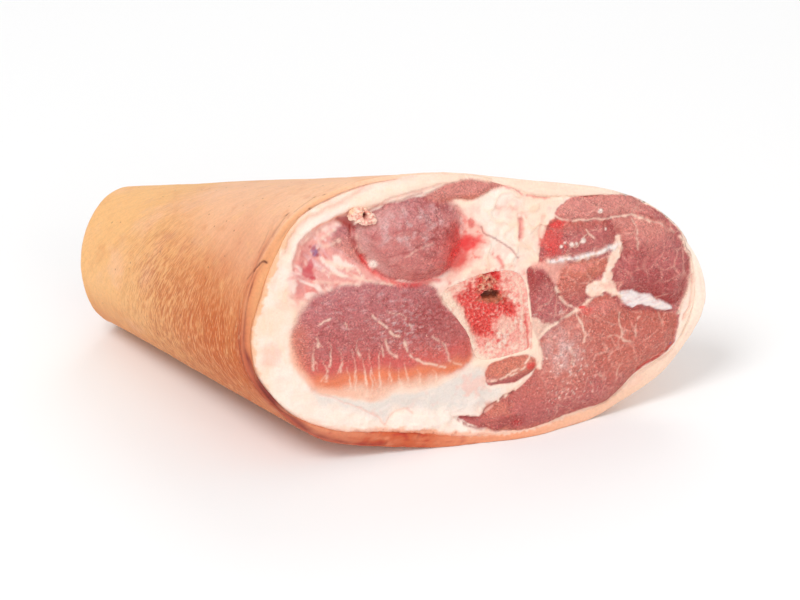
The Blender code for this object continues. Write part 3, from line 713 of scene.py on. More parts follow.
def paint_fat(paint, flat):
    """The fat at the thick cut: its tones, folds, and the reddish membrane in it."""
    x, y = flat.T
    broad = rough_noise(flat, 20.0, 31)
    fine = rough_noise(flat, 3.5, 37)
    ridges = 1 - np.abs(rough_noise(flat, 15.0, 33, 3)) * 2.2
    paint.height += 0.45 * broad + 0.16 * fine
    paint.blend(WHITE_FAT, 0.85 * step(-0.5, 0.4, broad + 0.35 * fine))
    paint.blend(PINK_FAT, 0.26 * step(0.15, 0.8, rough_noise(flat, 9.0, 41) + 0.15 * fine))
    top_runs = rough_noise(flat @ np.array(((0.25, 0.12), (-0.25, 1.0))), 3.0, 44, 3)
    paint.blend(PINK_FAT, 0.42 * step(43, 48, y) * step(10, -10, x) * step(0.0, 0.5, top_runs))
    paint.height += 0.35 * step(43, 48, y) * top_runs
    paint.mottle(CREAM, 0.5, 0.1, 0.6, 5.0, 42)
    runs = rough_noise(flat * np.array((1.0, 0.22)), 2.6, 43, 3)
    left = step(-60, -72, x) * bump(y - 4, 22)
    paint.blend(SKIN_YELLOW, 0.22 * left * step(0.0, 0.6, runs))
    paint.blend(WHITE_FAT, 0.55 * step(-8, -26, y) * step(8, -8, x))
    bluish = paint.area(BLUISH_FAT, BLUISH_AREA, 2.4, 0.90, -0.3, 1.4, 1)
    paint.blend(WHITE_FAT, 0.28 * bluish * step(0.05, 0.5, rough_noise(flat * np.array((0.5, 1.3)), 4.0, 45)))
    paint.mottle(PINK_FAT, 0.20 * bluish, 0.2, 0.7, 4.0, 47)
    paint.area(WHITE_FAT, WHITE_LOBE, 1.2, 0.9, 1.0, 0.8, 2)
    right = step(-4, 6, x) * step(-6, 8, y)
    paint.height += right * (0.6 * noise(flat, 8.0, 49) + 0.7 * step(0.6, 1.0, ridges))
    paint.blend(PINK_FAT, 0.40 * right * step(0.50, 0.1, ridges) * step(-0.3, 0.4, fine + broad))
    paint.blend(SKIN_YELLOW, 0.16 * right * step(0.75, 1.0, ridges))
    low = step(-28, -38, y) * step(24, 8, x)
    paint.height += low * (0.5 * noise(flat, 6.0, 50) + 0.35 * step(0.6, 1.0, ridges))
    for seed, (colour, width, strength, height, line) in enumerate(FOLDS):
        paint.line(colour, width, strength, line, height, seed=120 + seed)
    along, across = unit(np.array((0.72, -0.69))), unit(np.array((0.69, 0.72)))
    slanted = np.stack([flat @ along / 5.0, flat @ across], axis=1)
    slanted[:, 1] += 2.0 * noise(flat, 8.0, 51)
    streaks = rough_noise(slanted, 1.7, 53)
    swirls = rough_noise(flat, 5.0, 54, 3)
    fascia = paint.area(FASCIA, FASCIA_AREA, 2.4, 0.80, 0.0, 1.6, 3)
    paint.blend(MAUVE, 0.35 * fascia * step(0.1, 0.7, swirls))
    paint.blend(BRIGHT_RED, 0.35 * fascia * step(0.1, 0.6, -swirls - 0.4 * streaks))
    paint.blend(WHITE_FAT, 0.80 * fascia * step(0.0, 0.42, streaks + 0.35 * noise(flat, 6.0, 55)))
    paint.blend(MAUVE_FAT, 0.45 * fascia * step(0.1, 0.5, rough_noise(slanted, 2.8, 59)) * step(20, 30, y))
    paint.height += 0.5 * fascia * streaks
    paint.area(PINK_FAT, PINK_ZONE, 1.5, 0.80, -0.2, 1.4, 4)
    zone = step(-1.0, 1.0, depth_inside(flat, PINK_ZONE))
    paint.mottle(BLOOD, 0.5 * zone, 0.25, 0.6, 3.2, 56)
    paint.blend(CREAM, 0.5 * zone * step(0.2, 0.6, -rough_noise(flat, 3.2, 57)))


def foot_scallops(flat):
    """Noise that waves along the foot of the big front muscle."""
    return noise(np.stack([flat[:, 0], flat[:, 1] * 0.2], axis=1), 4.5, 71)


def paint_meat(paint, flat, bent):
    """The muscles at the thick cut, with their grain, marbling and domes."""
    fibre = rough_noise(flat * np.array((1.0, 1.6)), 2.0, 61)
    grain = rough_noise(flat, 0.95, 67, 2)
    tone_drift = rough_noise(flat, 13.0, 69, 3)
    scallops = 1.3 * foot_scallops(flat)
    for name, (outline, stands_out, shoulder, colours) in MUSCLES.items():
        front = name == "shank_front"
        depth = depth_inside(bent, outline)
        softness = np.full(len(flat), 0.35)
        if front:
            softness += 1.8 * step(-10, -22, flat[:, 1]) + 1.3 * step(-50, -68, flat[:, 0])
            softness += 0.8 * step(0, 8, flat[:, 1])
            depth = depth + scallops * step(-12, -22, flat[:, 1])
        merging = (name == "upper_oval") * step(-17, -4, flat[:, 0])
        softness += 2.2 * merging
        if name in ("left_slip", "top_strip"):
            softness += 0.6
        inside = step(-softness, softness, depth)
        low, high = np.array(outline)[:, 1].min(), np.array(outline)[:, 1].max()
        share = (flat[:, 1] - low) / (high - low) + 0.12 * tone_drift
        tone = three_tone(colours, share)
        tone += (0.16 * np.clip(tone_drift, 0, 1))[:, None] * (np.array(SALMON) - tone)
        tone += (0.16 * np.clip(-tone_drift, 0, 1))[:, None] * (np.array(MAUVE) - tone)
        tone *= 1 + 0.13 * fibre[:, None] + 0.11 * grain[:, None]
        paint.colour += inside[:, None] * (tone - paint.colour)
        paint.meat = np.maximum(paint.meat, inside)
        paint.height += stands_out * (1 - bump(np.maximum(depth, 0), shoulder)) * (depth > 0)
        if name not in ("shank_front", "rear_mass", "left_slip"):
            rear = name.startswith("rear")
            crisp = 1 - 0.85 * merging
            # Each muscle's edge sinks into a groove, with painted shade just inside it.
            paint.height -= (0.30 if rear else 0.45) * crisp * bump(depth, 0.9)
            paint.blend(DEEP, (0.12 if rear else 0.18) * crisp * bump(depth - 0.6, 0.9) * inside)
    paint.height += paint.meat * (0.16 * grain + 0.14 * fibre)


def paint_rear(paint, flat, wavy, patchy):
    """Pale nets, flecks and sheens in the muscles of the right half."""
    meat = paint.meat
    rear = step(22, 30, flat[:, 0])
    net = bump(cell_borders(wavy, 6.4, 76), 0.30) * step(-0.25, 0.35, patchy)
    small_net = bump(cell_borders(wavy * np.array((1.2, 0.85)), 3.0, 77), 0.24) * step(-0.1, 0.5, -patchy)
    low_left = patch(flat, (30, -31), (17, 13))
    paint.blend(PINK_FAT, meat * rear * (0.62 * net + (0.30 + 0.35 * low_left) * small_net))
    slanted = flat * np.array((1.6, 0.75)) @ np.array(((0.8, 0.6), (-0.6, 0.8)))
    flecks = step(0.30, 0.62, rough_noise(slanted, 1.5, 91, 3))
    paint.blend(WHITE_FAT, 0.8 * meat * rear * flecks * np.clip(1.7 * low_left, 0, 1))
    # A painted sheen: a silvery patch on the low right muscle.
    sheen = patch(flat, (34, -21), (8, 9))
    paint.blend(SILVER_AND_SHEEN, 0.36 * meat * sheen * (0.8 + 0.6 * noise(flat, 3.0, 92)))
    paint.mottle(WHITE_FAT, 0.55 * meat * patch(flat, (30, -6), (8, 8)), 0.25, 0.6, 2.4, 97)


def paint_oval(paint, flat, bent, wavy, patchy):
    """Dark cracks, a red lower right and a pale sheen in the round muscle at the top."""
    x, y = flat.T
    depth = depth_inside(bent, MUSCLES["upper_oval"][0])
    oval = step(-0.5, 1.5, depth)
    dark_net = bump(cell_borders(wavy * np.array((0.9, 1.1)), 5.2, 78), 0.38) * step(-0.2, 0.5, -patchy)
    paint.blend(DEEP, 0.80 * oval * dark_net)
    paint.height -= 0.22 * oval * dark_net
    streaky = rough_noise(flat * np.array((0.45, 1.0)), 2.6, 94, 3)
    paint.blend(ROSE_PALE, 0.55 * oval * step(31, 22, y) * step(-0.5, 0.3, streaky))
    paint.blend(BRIGHT_RED, 0.75 * oval * step(-19, -5, x + 6 * streaky) * step(42, 27, y))
    paint.meat *= 1 - 0.35 * oval * step(-14, -30, x)
    # Painted sheen: pale marks over the round muscle's left part and a silvery mottle at its top.
    paint.blend(PALE_SHEEN, 0.48 * oval * bump(depth - 2.2, 2.4) * step(-26, -36, x))
    paint.blend(PALE_SHEEN, 0.22 * oval * step(-0.2, 0.4, streaky) * step(-12, -28, x))
    paint.mottle(SILVER_AND_SHEEN, 0.42 * (oval * patch(flat, (-24, 38), (14, 8))), -0.1, 0.5, 4.0, 87)
    fine_cracks = bump(cell_borders(wavy, 2.4, 88), 0.34) * step(-0.3, 0.3, rough_noise(flat, 6.0, 89))
    paint.blend(DEEP, 0.72 * oval * fine_cracks * step(-30, -16, x))


def paint_front(paint, flat, bent, wavy):
    """Wrinkles, cracks and painted sheen in the big front muscle, and its orange foot with a fan of pale
    streaks.
    """
    x, y = flat.T
    depth = depth_inside(bent, MUSCLES["shank_front"][0])
    front = step(-0.5, 1.5, depth)
    fringe = step(-3.0, -0.6, depth)
    swirl = np.stack([x / 3.0, y + 1.6 * noise(flat, 9.0, 81)], axis=1)
    wrinkles = rough_noise(swirl, 1.4, 82, 3)
    upper = step(-14, 2, y)
    paint.height += 0.16 * front * wrinkles * upper
    paint.blend(DEEP, 0.55 * front * step(0.12, 0.6, wrinkles) * upper)
    paint.blend(SILVER_AND_SHEEN, 0.18 * front * step(0.15, 0.6, -wrinkles) * upper)
    cracked = patch(flat, (-18, 1), (13, 10))
    cracks = bump(cell_borders(wavy * np.array((0.8, 1.2)), 2.6, 84), 0.38)
    paint.blend(DEEP, 0.85 * front * cracked * cracks)
    paint.height -= 0.25 * front * cracked * cracks
    # Painted sheen: silvery glints and a silvery mottle in two patches of the big front muscle.
    shiny = patch(flat, (-30, -2), (9, 10))
    glints = rough_noise(flat * np.array((1.0, 1.8)), 2.4, 85)
    paint.blend(SILVER_AND_SHEEN, 0.40 * front * shiny * step(0.0, 0.5, glints))
    paint.mottle(SILVER_AND_SHEEN, 0.30 * front * patch(flat, (-16, -14), (8, 5)), 0.0, 0.5, 2.0, 86)
    drift = 1.3 * noise(flat, 9.0, 83) + 1.6 * foot_scallops(flat)
    foot = y + drift + 0.045 * (x + 36.0)
    paint.blend(BRIGHT_RED, 0.42 * front * bump(foot + 13.5, 4.5))
    paint.blend(ORANGE_MEAT, 0.85 * front * step(-14.5, -19.5, foot))
    paint.blend(CREAM, 0.72 * fringe * step(-19.6, -25.5, foot))
    paint.meat *= 1 - 0.85 * fringe * step(-9.0, -18.0, foot)
    paint.blend(SALMON, 0.60 * front * step(-61, -70.5, x) * step(10, 2, y))
    lower_left = step(-28, -60, x) * step(8, -6, y)
    paint.blend(SALMON_PALE, 0.70 * fringe * bump(depth + 0.4, 1.9) * lower_left)
    for seed, (top, bottom) in enumerate(FAN):
        top, bottom = np.array(top), np.array(bottom)
        sway = 1.6 * math.cos(5.0 * seed)
        middle = (top + bottom) / 2 + np.array((0.6 * math.sin(7.0 * seed), 0.0))
        paint.line(
            CREAM, 0.25, 0.68, (top, middle, bottom), 0.06, broken=0.1, wander=0.55, seed=40 + seed,
            taper=0.9,
        )
        fork = middle + np.array((sway, -0.2))
        tip = bottom + (1.8 * math.cos(5.0 * seed), -0.6)
        paint.line(
            CREAM, 0.20, 0.45, (middle, (fork + bottom) / 2, tip), broken=0.1, wander=0.5, seed=240 + seed,
        )


def paint_marbling(paint, flat, bent):
    """Pale nets, dark cracks and flecks in the muscles, with painted glints and sheens."""
    wavy = flat + 1.3 * shifts(flat, 5.0, (73, 74))
    patchy = rough_noise(flat, 9.0, 75)
    paint_rear(paint, flat, wavy, patchy)
    paint_oval(paint, flat, bent, wavy, patchy)
    # Fine pale pink specks over the muscles are painted glints.
    paint.mottle(PINK_FAT, 0.24 * paint.meat, 0.25, 0.65, 0.85, 79, 2)
    paint.mottle(DEEP, 0.30 * paint.meat, 0.2, 0.6, 1.1, 80, 2)
    paint_front(paint, flat, bent, wavy)


def paint_between(paint, flat):
    """Fat between the muscles: pale gaps, column, star and silvery tendon, then seams and dark lines."""
    pale = 0.75 * paint.area(PINK_FAT, PALE_GAP, 0.9, 0.75, -0.2, 0.9, 11)
    column = paint.area(CREAM, FAT_COLUMN, 0.6, 0.93, 0.4, 1.5, 12)
    paint.mottle(PINK_FAT, 0.5 * column, 0.0, 0.5, 3.0, 102)
    paint.blend(WHITE_FAT, 0.6 * column * step(0.0, 0.5, -rough_noise(flat, 3.0, 102)))
    lobe = paint.area(CREAM, LOBE_RIGHT, 0.5, 0.95, 0.6, 0.4, 13)
    by_bone = paint.area(CREAM, BONE_FAT, 0.8, 0.70, 0.2, 1.4, 14)
    plate = paint.area(SILVER_AND_SHEEN, TENDON_PLATE, 0.4, 0.9, 0.9, 1.1, 15)
    plate_run = rough_noise(flat * np.array((0.4, 1.6)), 2.0, 101)
    paint.blend(WHITE_FAT, 0.8 * plate * step(0.0, 0.5, plate_run))
    paint.blend(PALE_SHEEN, 0.45 * plate * step(0.0, 0.5, -plate_run))
    paint.height += 0.35 * plate * plate_run
    pale = np.maximum.reduce([pale, column, lobe, 0.7 * by_bone, plate])
    for seed, (width, strength, height, line) in enumerate(PALE_LINES):
        pale = np.maximum(pale, paint.line(CREAM, width, strength, line, height, broken=0.22, seed=seed))
    paint.meat *= 1 - 0.9 * pale
    for seed, (colour, width, strength, height, line) in enumerate(DARK_LINES):
        paint.line(colour, width, strength, line, height, broken=0.1, seed=60 + seed)


def paint_blood(paint):
    """Blood: the bright patch beside the round muscle, spots and bruises, then drops of fat."""
    # The pocket's dark red is partly painted shade in the sunk gap.
    paint.area(CLOT, POCKET, 0.8, 0.85, -1.8, 0.5, 21)
    paint.area(BRIGHT_RED, BLOOD_WIDE, 1.8, 0.85, -0.2, 1.6, 22)
    paint.area(BLOOD, BLOOD_BRIGHT, 1.3, 0.85, -0.3, 1.4, 23)
    paint.spots(RED_SPOTS)
    paint.area(RASPBERRY, CLOT_AREA, 0.6, 0.85, -0.2, 1.1, 13)
    paint.spot(RASPBERRY, (-61.8, 23.0), (1.2, 1.0), 0.9, -0.1, 0.6, 14)
    paint.spot(PURPLE, (-59.6, 33.5), (1.6, 2.2), 0.85, 0.0, 0.9, 15)
    for seed, place in enumerate(CLOTS):
        paint.spot(CLOT, place, (0.8, 0.7), 0.65, -0.1, 0.6, 40 + seed)
    paint.line(CLOT, 0.9, 0.40, ((-65.4, 29.0), (-64.9, 32.1), (-63.8, 35.7), (-61.3, 38.6), (-57.7, 40.6)),
               -0.3, broken=0.3, seed=98)
    paint.line(MAUVE, 1.6, 0.35, ((-67.0, 18.0), (-66.6, 24.0), (-64.6, 30.0), (-62.5, 35.0)), 0.0,
               broken=0.2, seed=99)
    paint.spots(OTHER_SPOTS)
    for seed, (place, size) in enumerate(FAT_DROPS):
        paint.spot(WHITE_FAT, place, (size, size), 0.92, 0.3, 0.45, 30 + seed)


def paint_borders(paint, flat):
    """Fat strips at the right, the rind's tints in the fat at the left, and the bone's socket."""
    # The silvery seam at the upper right, then strips of fat at the far right, beside the rind.
    paint.line(SILVER_AND_SHEEN, 1.2, 0.9, ((32.0, 15.3), (38.6, 14.9), (46.0, 14.9), (52.0, 15.8), (58.5, 17.2)), 0.5,
               broken=0.3, wander=0.8, seed=96)
    for colour, width, strength, height, line in RIGHT_STRIPS:
        paint.line(colour, width, strength, line, height, seed=97)
    # Orange rind tints run a little way into the fat at the left.
    turn = np.mod(np.arctan2(flat[:, 1] - FACE_MIDDLE[1], flat[:, 0] - FACE_MIDDLE[0]), 2 * math.pi)
    rim_side = bump(turn - 2.9, 0.45)
    from_rind = depth_inside(flat, FACE_EDGE)
    frayed = from_rind + 2.2 * rough_noise(flat, 3.0, 103, 3)
    paint.blend(SKIN_PEACH, 0.75 * rim_side * step(1.6, 0.2, frayed))
    low_side = bump(turn - 4.25, 0.62)
    drift = from_rind + 1.6 * rough_noise(flat, 4.0, 105, 3)
    paint.blend(BAND_LOW, 0.85 * low_side * step(2.6, 0.3, drift))
    paint.mottle(CLOT, 0.40 * low_side * step(1.6, 0.2, drift), 0.1, 0.5, 1.8, 107, 3)
    # The bone's socket.
    near_bone = depth_inside(flat, BONE)
    paint.height = np.where(near_bone > -3.0, paint.height * step(0.0, -3.0, near_bone), paint.height)
    paint.height -= SOCKET_DEPTH * step(0.5, 1.2, near_bone)


def paint_cut(flat):
    """The thick cut's colours and relief."""
    bent = flat + 0.8 * shifts(flat, 6.0, (11, 17), 4)
    paint = Paint(flat, CREAM)
    near_bone = depth_inside(bent, BONE)
    paint_fat(paint, flat)
    around_bone = step(-4.5, -0.5, near_bone)
    above = step(6.0, 12.0, flat[:, 1])
    paint.blend(BONE_WHITE, 0.85 * around_bone * (1 - above))
    paint.mottle(PINK_FAT, 0.60 * around_bone * above, -0.4, 0.5, 4.0, 21)
    paint.mottle(BRIGHT_RED, 0.45 * around_bone * above, 0.15, 0.5, 2.6, 22)
    paint_meat(paint, flat, bent)
    paint_marbling(paint, flat, bent)
    paint_between(paint, flat)
    paint_blood(paint)
    paint_borders(paint, flat)
    return paint


def paint_bone(flat):
    """The sawn bone's colours and relief at the thick cut."""
    paint = Paint(flat, BONE_PINK)
    fine = rough_noise(flat, 2.2, 121)
    grain = rough_noise(flat, 0.8, 127, 2)
    mottled = rough_noise(flat, 4.5, 131)
    foam = rough_noise(flat, 1.15, 133, 3)
    edge = depth_inside(flat, BONE)
    paint.height += BONE_OUT + 0.10 * fine + 0.10 * grain
    above = step(6.0, 12.0, flat[:, 1])
    paint.blend(BONE_WHITE, 0.75 * step(-0.25, 0.3, foam + 0.5 * mottled))
    left = step(2.0, -5.0, flat[:, 0] + 0.35 * flat[:, 1])
    paint.blend(BONE_WHITE, 0.9 * left * step(3.5, 1.5, edge + mottled))
    paint.blend(PINK_FAT, 0.65 * above * step(-0.4, 0.4, mottled))
    paint.blend(BRIGHT_RED, 0.55 * above * step(0.1, 0.5, fine))
    paint.blend(WHITE_FAT, 0.5 * step(0.0, 0.6, mottled) * (1 - above))
    right = step(15.5, 19.5, flat[:, 0] + mottled)
    paint.blend(BONE_PINK, 0.55 * right * step(-0.2, 0.5, fine))
    lower = paint.area(BONE_PINK, BONE_LOWER, 2.4, 0.88, -0.1, 2.0, 51)
    paint.blend(BONE_WHITE, 0.65 * lower * step(-0.25, 0.45, mottled + 0.35 * foam))
    paint.blend(BRIGHT_RED, 0.24 * lower * step(0.10, 0.42, -foam + 0.3 * mottled))
    paint.blend(WHITE_FAT, 0.6 * lower * step(0.25, 0.55, mottled + 0.4 * foam))
    paint.height += 0.25 * lower * foam
    spread = step(-8.0, 0.5, depth_inside(flat, MARROW_AREA))
    paint.mottle(BRIGHT_RED, 0.65 * spread, -0.05, 0.35, 2.2, 137)
    marrow = paint.area(MARROW, MARROW_AREA, 1.5, 0.90, -0.7, 2.2, 52)
    paint.blend(BLOOD, 0.55 * marrow * step(-0.1, 0.4, mottled))
    paint.blend(BONE_PINK, 0.50 * marrow * step(0.08, 0.50, foam + 0.6 * grain + 0.6 * mottled))
    paint.blend(BONE_WHITE, 0.20 * marrow * step(0.38, 0.65, foam + 0.6 * grain + 0.5 * mottled))
    paint.blend(DEEP, 0.22 * marrow * step(0.15, 0.45, -foam - 0.5 * grain))
    paint.meat = np.maximum(marrow, 0.4 * lower)
    paint.height += 0.55 * marrow * (foam + 0.5 * grain)
    for seed, (colour, place, size, strength) in enumerate(BONE_SPOTS):
        paint.spot(colour, place, size, strength, -0.1, 0.6, 53 + seed)
    paint.line(BRIGHT_RED, 0.45, 0.6, ((20.6, -5.0), (21.6, -18.2)), -0.3, seed=66)
    paint.line(CREAM, 0.6, 0.7, ((17.9, 8.8), (19.4, 3.5), (19.6, -6.1)), 0.2, broken=0.2, seed=67)
    paint.line(CREAM, 1.9, 0.90, ((-10.6, 7.4), (-7.0, 2.6), (-4.6, -4.0), (-1.6, -12.0)), 0.3, seed=68)
    # The pit is sunk and painted dark brown, partly its own colour and partly painted shade.
    paint.area(PIT, MARROW_PIT, 0.8, 0.92, -2.4, 1.2, 69)
    crumbs = paint.area(CRUMB_TAN, CRUMBS, 1.2, 0.45, 0.0, 2.4, 70)
    crumbly = rough_noise(flat, 1.3, 141, 4)
    paint.blend(SKIN_PINK, 0.80 * crumbs * step(0.0, 0.35, crumbly))
    paint.blend(CLOT, 0.70 * crumbs * step(0.10, 0.40, -crumbly))
    paint.height += 1.0 * crumbs * (0.6 + 1.2 * crumbly)
    paint.height -= 0.5 * bump(np.maximum(edge, 0), 0.35)
    return paint


def disc_grid(columns, rows):
    """A grid that fills the unit disc with no pinched middle: points, quads and the rim's point numbers."""
    x, y = np.meshgrid(np.linspace(-1, 1, columns), np.linspace(-1, 1, rows))
    disc = np.stack([x * np.sqrt(1 - y**2 / 2), y * np.sqrt(1 - x**2 / 2)], axis=-1).reshape(-1, 2)
    index = np.arange(columns * rows).reshape(rows, columns)
    quads = np.stack([index[:-1, :-1], index[:-1, 1:], index[1:, 1:], index[1:, :-1]], axis=-1).reshape(-1, 4)
    rim = np.concatenate([index[0, :-1], index[:-1, -1], index[-1, :0:-1], index[:0:-1, 0]])
    return disc, quads, rim


def spread_disc(disc, loop, middle, stretch):
    """The unit disc spread over the inside of a closed loop."""
    leaning = disc * np.array(stretch)
    bearings = np.arctan2(leaning[:, 1], leaning[:, 0])
    towards = np.stack([np.cos(bearings), np.sin(bearings)], axis=1)
    radius = np.linalg.norm(disc, axis=1)
    return middle + towards * (radius * reach(loop, middle, bearings))[:, None]


def ring_faces(first, second):
    """Quads between two rings of point numbers."""
    return np.stack([first, np.roll(first, -1), np.roll(second, -1), second], axis=1)


def add_object(name, data):
    """A new object in the scene."""
    thing = bpy.data.objects.new(name, data)
    bpy.context.scene.collection.objects.link(thing)
    return thing


def make_piece(name, material, points, quads, fans, tints, masks):
    """A smooth mesh from points in millimetres, quads and closing fans.

    The tints and masks are kept on its points, for the material.
    """
    faces = [tuple(int(i) for i in quad) for quad in quads] + [tuple(int(i) for i in fan) for fan in fans]
    mesh = bpy.data.meshes.new(name)
    mesh.from_pydata([tuple(p) for p in points * MM], [], faces)
    mesh.update()
    tint = mesh.attributes.new("tint", "FLOAT_COLOR", "POINT")
    tint.data.foreach_set("color", np.column_stack([np.clip(tints, 0, 1), np.ones(len(tints))]).ravel())
    for key, values in masks.items():
        mask = mesh.attributes.new(key, "FLOAT", "POINT")
        mask.data.foreach_set("value", np.asarray(values, np.float32))
    mesh.shade_smooth()
    mesh.materials.append(material)
    return add_object(name, mesh)


def make_slab(name, material, points, quads, rim, paint, rings):
    """A piece with a painted top, and rings that go down from its rim to a flat closing face.

    Each ring has its points, its tints and its meat mask.
    """
    layers, faces, tints, meat = [points], [quads], [paint.colour], [paint.meat]
    last, count = rim, len(points)
    for ring, tint, mask in rings:
        layers.append(rested(ring))
        tints.append(tint)
        meat.append(mask)
        numbers = np.arange(count, count + len(ring))
        faces.append(ring_faces(numbers, last))
        last, count = numbers, count + len(ring)
    masks = {"meat": np.concatenate(meat)}
    return make_piece(
        name, material, np.vstack(layers), np.vstack(faces), [last[::-1]], np.vstack(tints), masks,
    )


def body_point(rim, hock, share):
    """Points of the rind's outside at a share of the way from the thick cut to the thin end."""
    share = np.broadcast_to(share, (len(rim),))[:, None]
    straight = rim + (hock - rim) * share
    arm = straight - (CUT_MIDDLE + (HOCK_MIDDLE - CUT_MIDDLE) * share)
    arm -= (arm @ LIMB_ALONG)[:, None] * LIMB_ALONG
    outwards = arm / np.linalg.norm(arm, axis=1)[:, None]
    calf_side = np.maximum(outwards @ LIMB_SIDE * CALF_SIGN, 0)[:, None] ** 2
    calf = CALF_SWELL * calf_side * np.sin(math.pi * share) ** 2
    heel = HEEL_RIDGE * calf_side**4 * share**3
    return straight + (SWELL * np.sin(math.pi * share) + calf + heel) * outwards, outwards


def on_hock(side, up):
    """Points of the thin end, to the side and up from its middle, in space."""
    return HOCK_MIDDLE + side[:, None] * LIMB_SIDE + up[:, None] * LIMB_TOP


FACE_MIDDLE = np.array((2.0, -1.0))
FACE_STRETCH = (95.0, 55.0)
FACE_GRID = (400, 222)
# How far the cut face reaches in under the rind, at least and at most, and as a share of the rind.
TUCK_LEAST, TUCK_MOST, TUCK_SHARE = 0.4, 1.8, 0.5
# How far the cut face's painted relief stands out, and how its edge turns down.
FACE_OUT = 0.6
FACE_EDGE_DROP, FACE_EDGE_WIDTH = 1.5, 1.5
# Rings down from the cut face's rim: size as a share of the rim, and depth.
FACE_RINGS = ((0.972, 3.0), (0.94, 9.0), (0.6, 9.0), (0.25, 9.0))


def make_cut_face(material):
    """Fat and muscle at the thick cut, a slab whose edge is tucked in the rind."""
    loop = smooth_loop(FACE_EDGE)
    arms = loop - FACE_MIDDLE
    size = np.linalg.norm(arms, axis=1)
    rim_loop = smooth_loop(RIM)
    rind_reach = reach(rim_loop[:, :2], FACE_MIDDLE, np.arctan2(arms[:, 1], arms[:, 0]))
    tuck = np.clip(TUCK_SHARE * (rind_reach - size), TUCK_LEAST, TUCK_MOST)
    loop = loop + (tuck / size)[:, None] * arms
    disc, quads, rim = disc_grid(*FACE_GRID)
    flat = spread_disc(disc, loop, FACE_MIDDLE, FACE_STRETCH)
    paint = paint_cut(flat)
    arms = flat - FACE_MIDDLE
    bearings = np.arctan2(arms[:, 1], arms[:, 0])
    rim_turns = np.arctan2(rim_loop[:, 1] - FACE_MIDDLE[1], rim_loop[:, 0] - FACE_MIDDLE[0])
    order = np.argsort(rim_turns)
    lift = np.interp(bearings, rim_turns[order], rim_loop[order, 2], period=2 * math.pi)
    radius = np.linalg.norm(disc, axis=1)
    edge = (1 - radius) * np.linalg.norm(arms, axis=1) / np.maximum(radius, 0.1)
    turned_down = FACE_EDGE_DROP * bump(np.maximum(edge, 0), FACE_EDGE_WIDTH)
    height = paint.height + lift * radius**4 - turned_down + FACE_OUT
    rings = [
        (on_cut(FACE_MIDDLE + (flat[rim] - FACE_MIDDLE) * shrink) + down * LIMB_ALONG,
         paint.colour[rim], paint.meat[rim])
        for shrink, down in FACE_RINGS
    ]
    return make_slab("cut_face", material, rested(on_cut(flat, height)), quads, rim, paint, rings)


BONE_GRID = (120, 120)
# Rings of the bone between its ends, as shares of the way, and rings across its thin end by size.
BORE_SHARES = (0.025, 0.1, 0.22, 0.4, 0.6, 0.8, 1.0)
BONE_END_SIZES = (1.0, 0.97, *np.linspace(0.90, 0.06, 18))


def make_bone(material):
    """The shank bone, sawn at both ends."""
    loop = smooth_loop(BONE)
    disc, quads, rim = disc_grid(*BONE_GRID)
    flat = spread_disc(disc, loop, loop.mean(axis=0), (1.0, 1.0))
    paint = paint_bone(flat)
    cut_end = on_cut(flat[rim])
    arms = cut_end - CUT_MIDDLE
    turns = np.arctan2(arms @ LIMB_TOP, arms @ LIMB_SIDE)
    hock_end = on_hock(BONE_HOCK_WIDTH / 2 * np.cos(turns), BONE_HOCK_HEIGHT / 2 * np.sin(turns))
    end_centre = hock_end.mean(axis=0)
    loops = []
    for share in BORE_SHARES:
        ring = cut_end + (hock_end - cut_end) * share
        centre = ring.mean(axis=0)
        waist = 1 - (1 - BONE_WAIST) * math.sin(math.pi * share) ** 2
        loops.append((centre + (ring - centre) * waist, 0.0))
    for size in BONE_END_SIZES:
        along = 0.80 + 0.08 * step(1.0, 0.9, size) - 0.34 * step(0.84, 0.60, size)
        loops.append((end_centre + (hock_end - end_centre) * size + along * HOCK_ROUND * LIMB_ALONG, size))
    rings = []
    for ring, size in loops:
        rough = rough_noise(ring, 3.0, 151)
        foam = rough_noise(ring, 1.3, 153, 3)
        marrow = step(0.86, 0.64, size + 0.12 * rough) * (size > 0)
        ring = ring + (0.6 * (rough + foam) * marrow)[:, None] * LIMB_ALONG
        tint = np.array(BONE_WHITE) * (1 + 0.10 * rough[:, None])
        tint += marrow[:, None] * (np.array(MARROW) - tint)
        tint += (0.65 * marrow * step(0.05, 0.45, foam))[:, None] * (np.array(BONE_PINK) - tint)
        rings.append((ring, tint, marrow))
    return make_slab("sawn_bone", material, rested(on_cut(flat, paint.height)), quads, rim, paint, rings)


AROUND = 640
BODY_RINGS = 128
# Where round the rind the points lie closer together, over what spread, and how much closer.
FINE_BEARING, FINE_SPREAD, FINE_GAIN = 3.2, 0.95, 1.9
# The rings beside the cut, out to this distance, and how many there are.
NEAR_CUT = 14.0
NEAR_RINGS = 34
# The limb's mean radius at the cut, to turn bearings on the rind into millimetres.
GIRTH_RADIUS = 77.7
RIND_LEAST = 1.6
# The rind's inner wall: how far down from the cut, share of the rind's width, and band mask.
INNER_WALL = ((7.0, 1.0, 2.4), (3.5, 1.0, 2.3), (1.4, 1.0, 2.15), (0.45, 0.97, 2.05), (0.0, 0.9, 1.95))
# The rind's cut edge, from its inner side to its outer corner, and the steps round that corner.
BAND_SHARES = (0.80, 0.66, 0.53, 0.40, 0.28, 0.15)
CORNER_ANGLES = np.radians((75, 60, 45, 30, 15))
# The thin end's rounded edge, how far it stands out as a share of its radius, and the lip inside it.
HOCK_ANGLES = np.radians((15, 32, 50, 68, 86))
HOCK_BULGE = 0.85
HOCK_LIP = ((7.2, 0.0), (7.6, 1.5), (7.6, 6.0))
# The rings inside the limb, which nothing shows, as shares of the way, and how deep they lie.
HIDDEN_SHARES = (0.8, 0.5, 0.25, 0.1)
HIDDEN_DEPTH = 8.0
# How many of the first and last rings carry no relief.
PLAIN_FIRST, PLAIN_LAST = 4, len(HOCK_LIP) + len(HIDDEN_SHARES)
# Where the rind is drawn back behind the meat: bearing from the cut's middle, spread, and how far.
RETRACTED = ((0.36, 0.20, 4.2), (1.62, 0.35, 2.2))
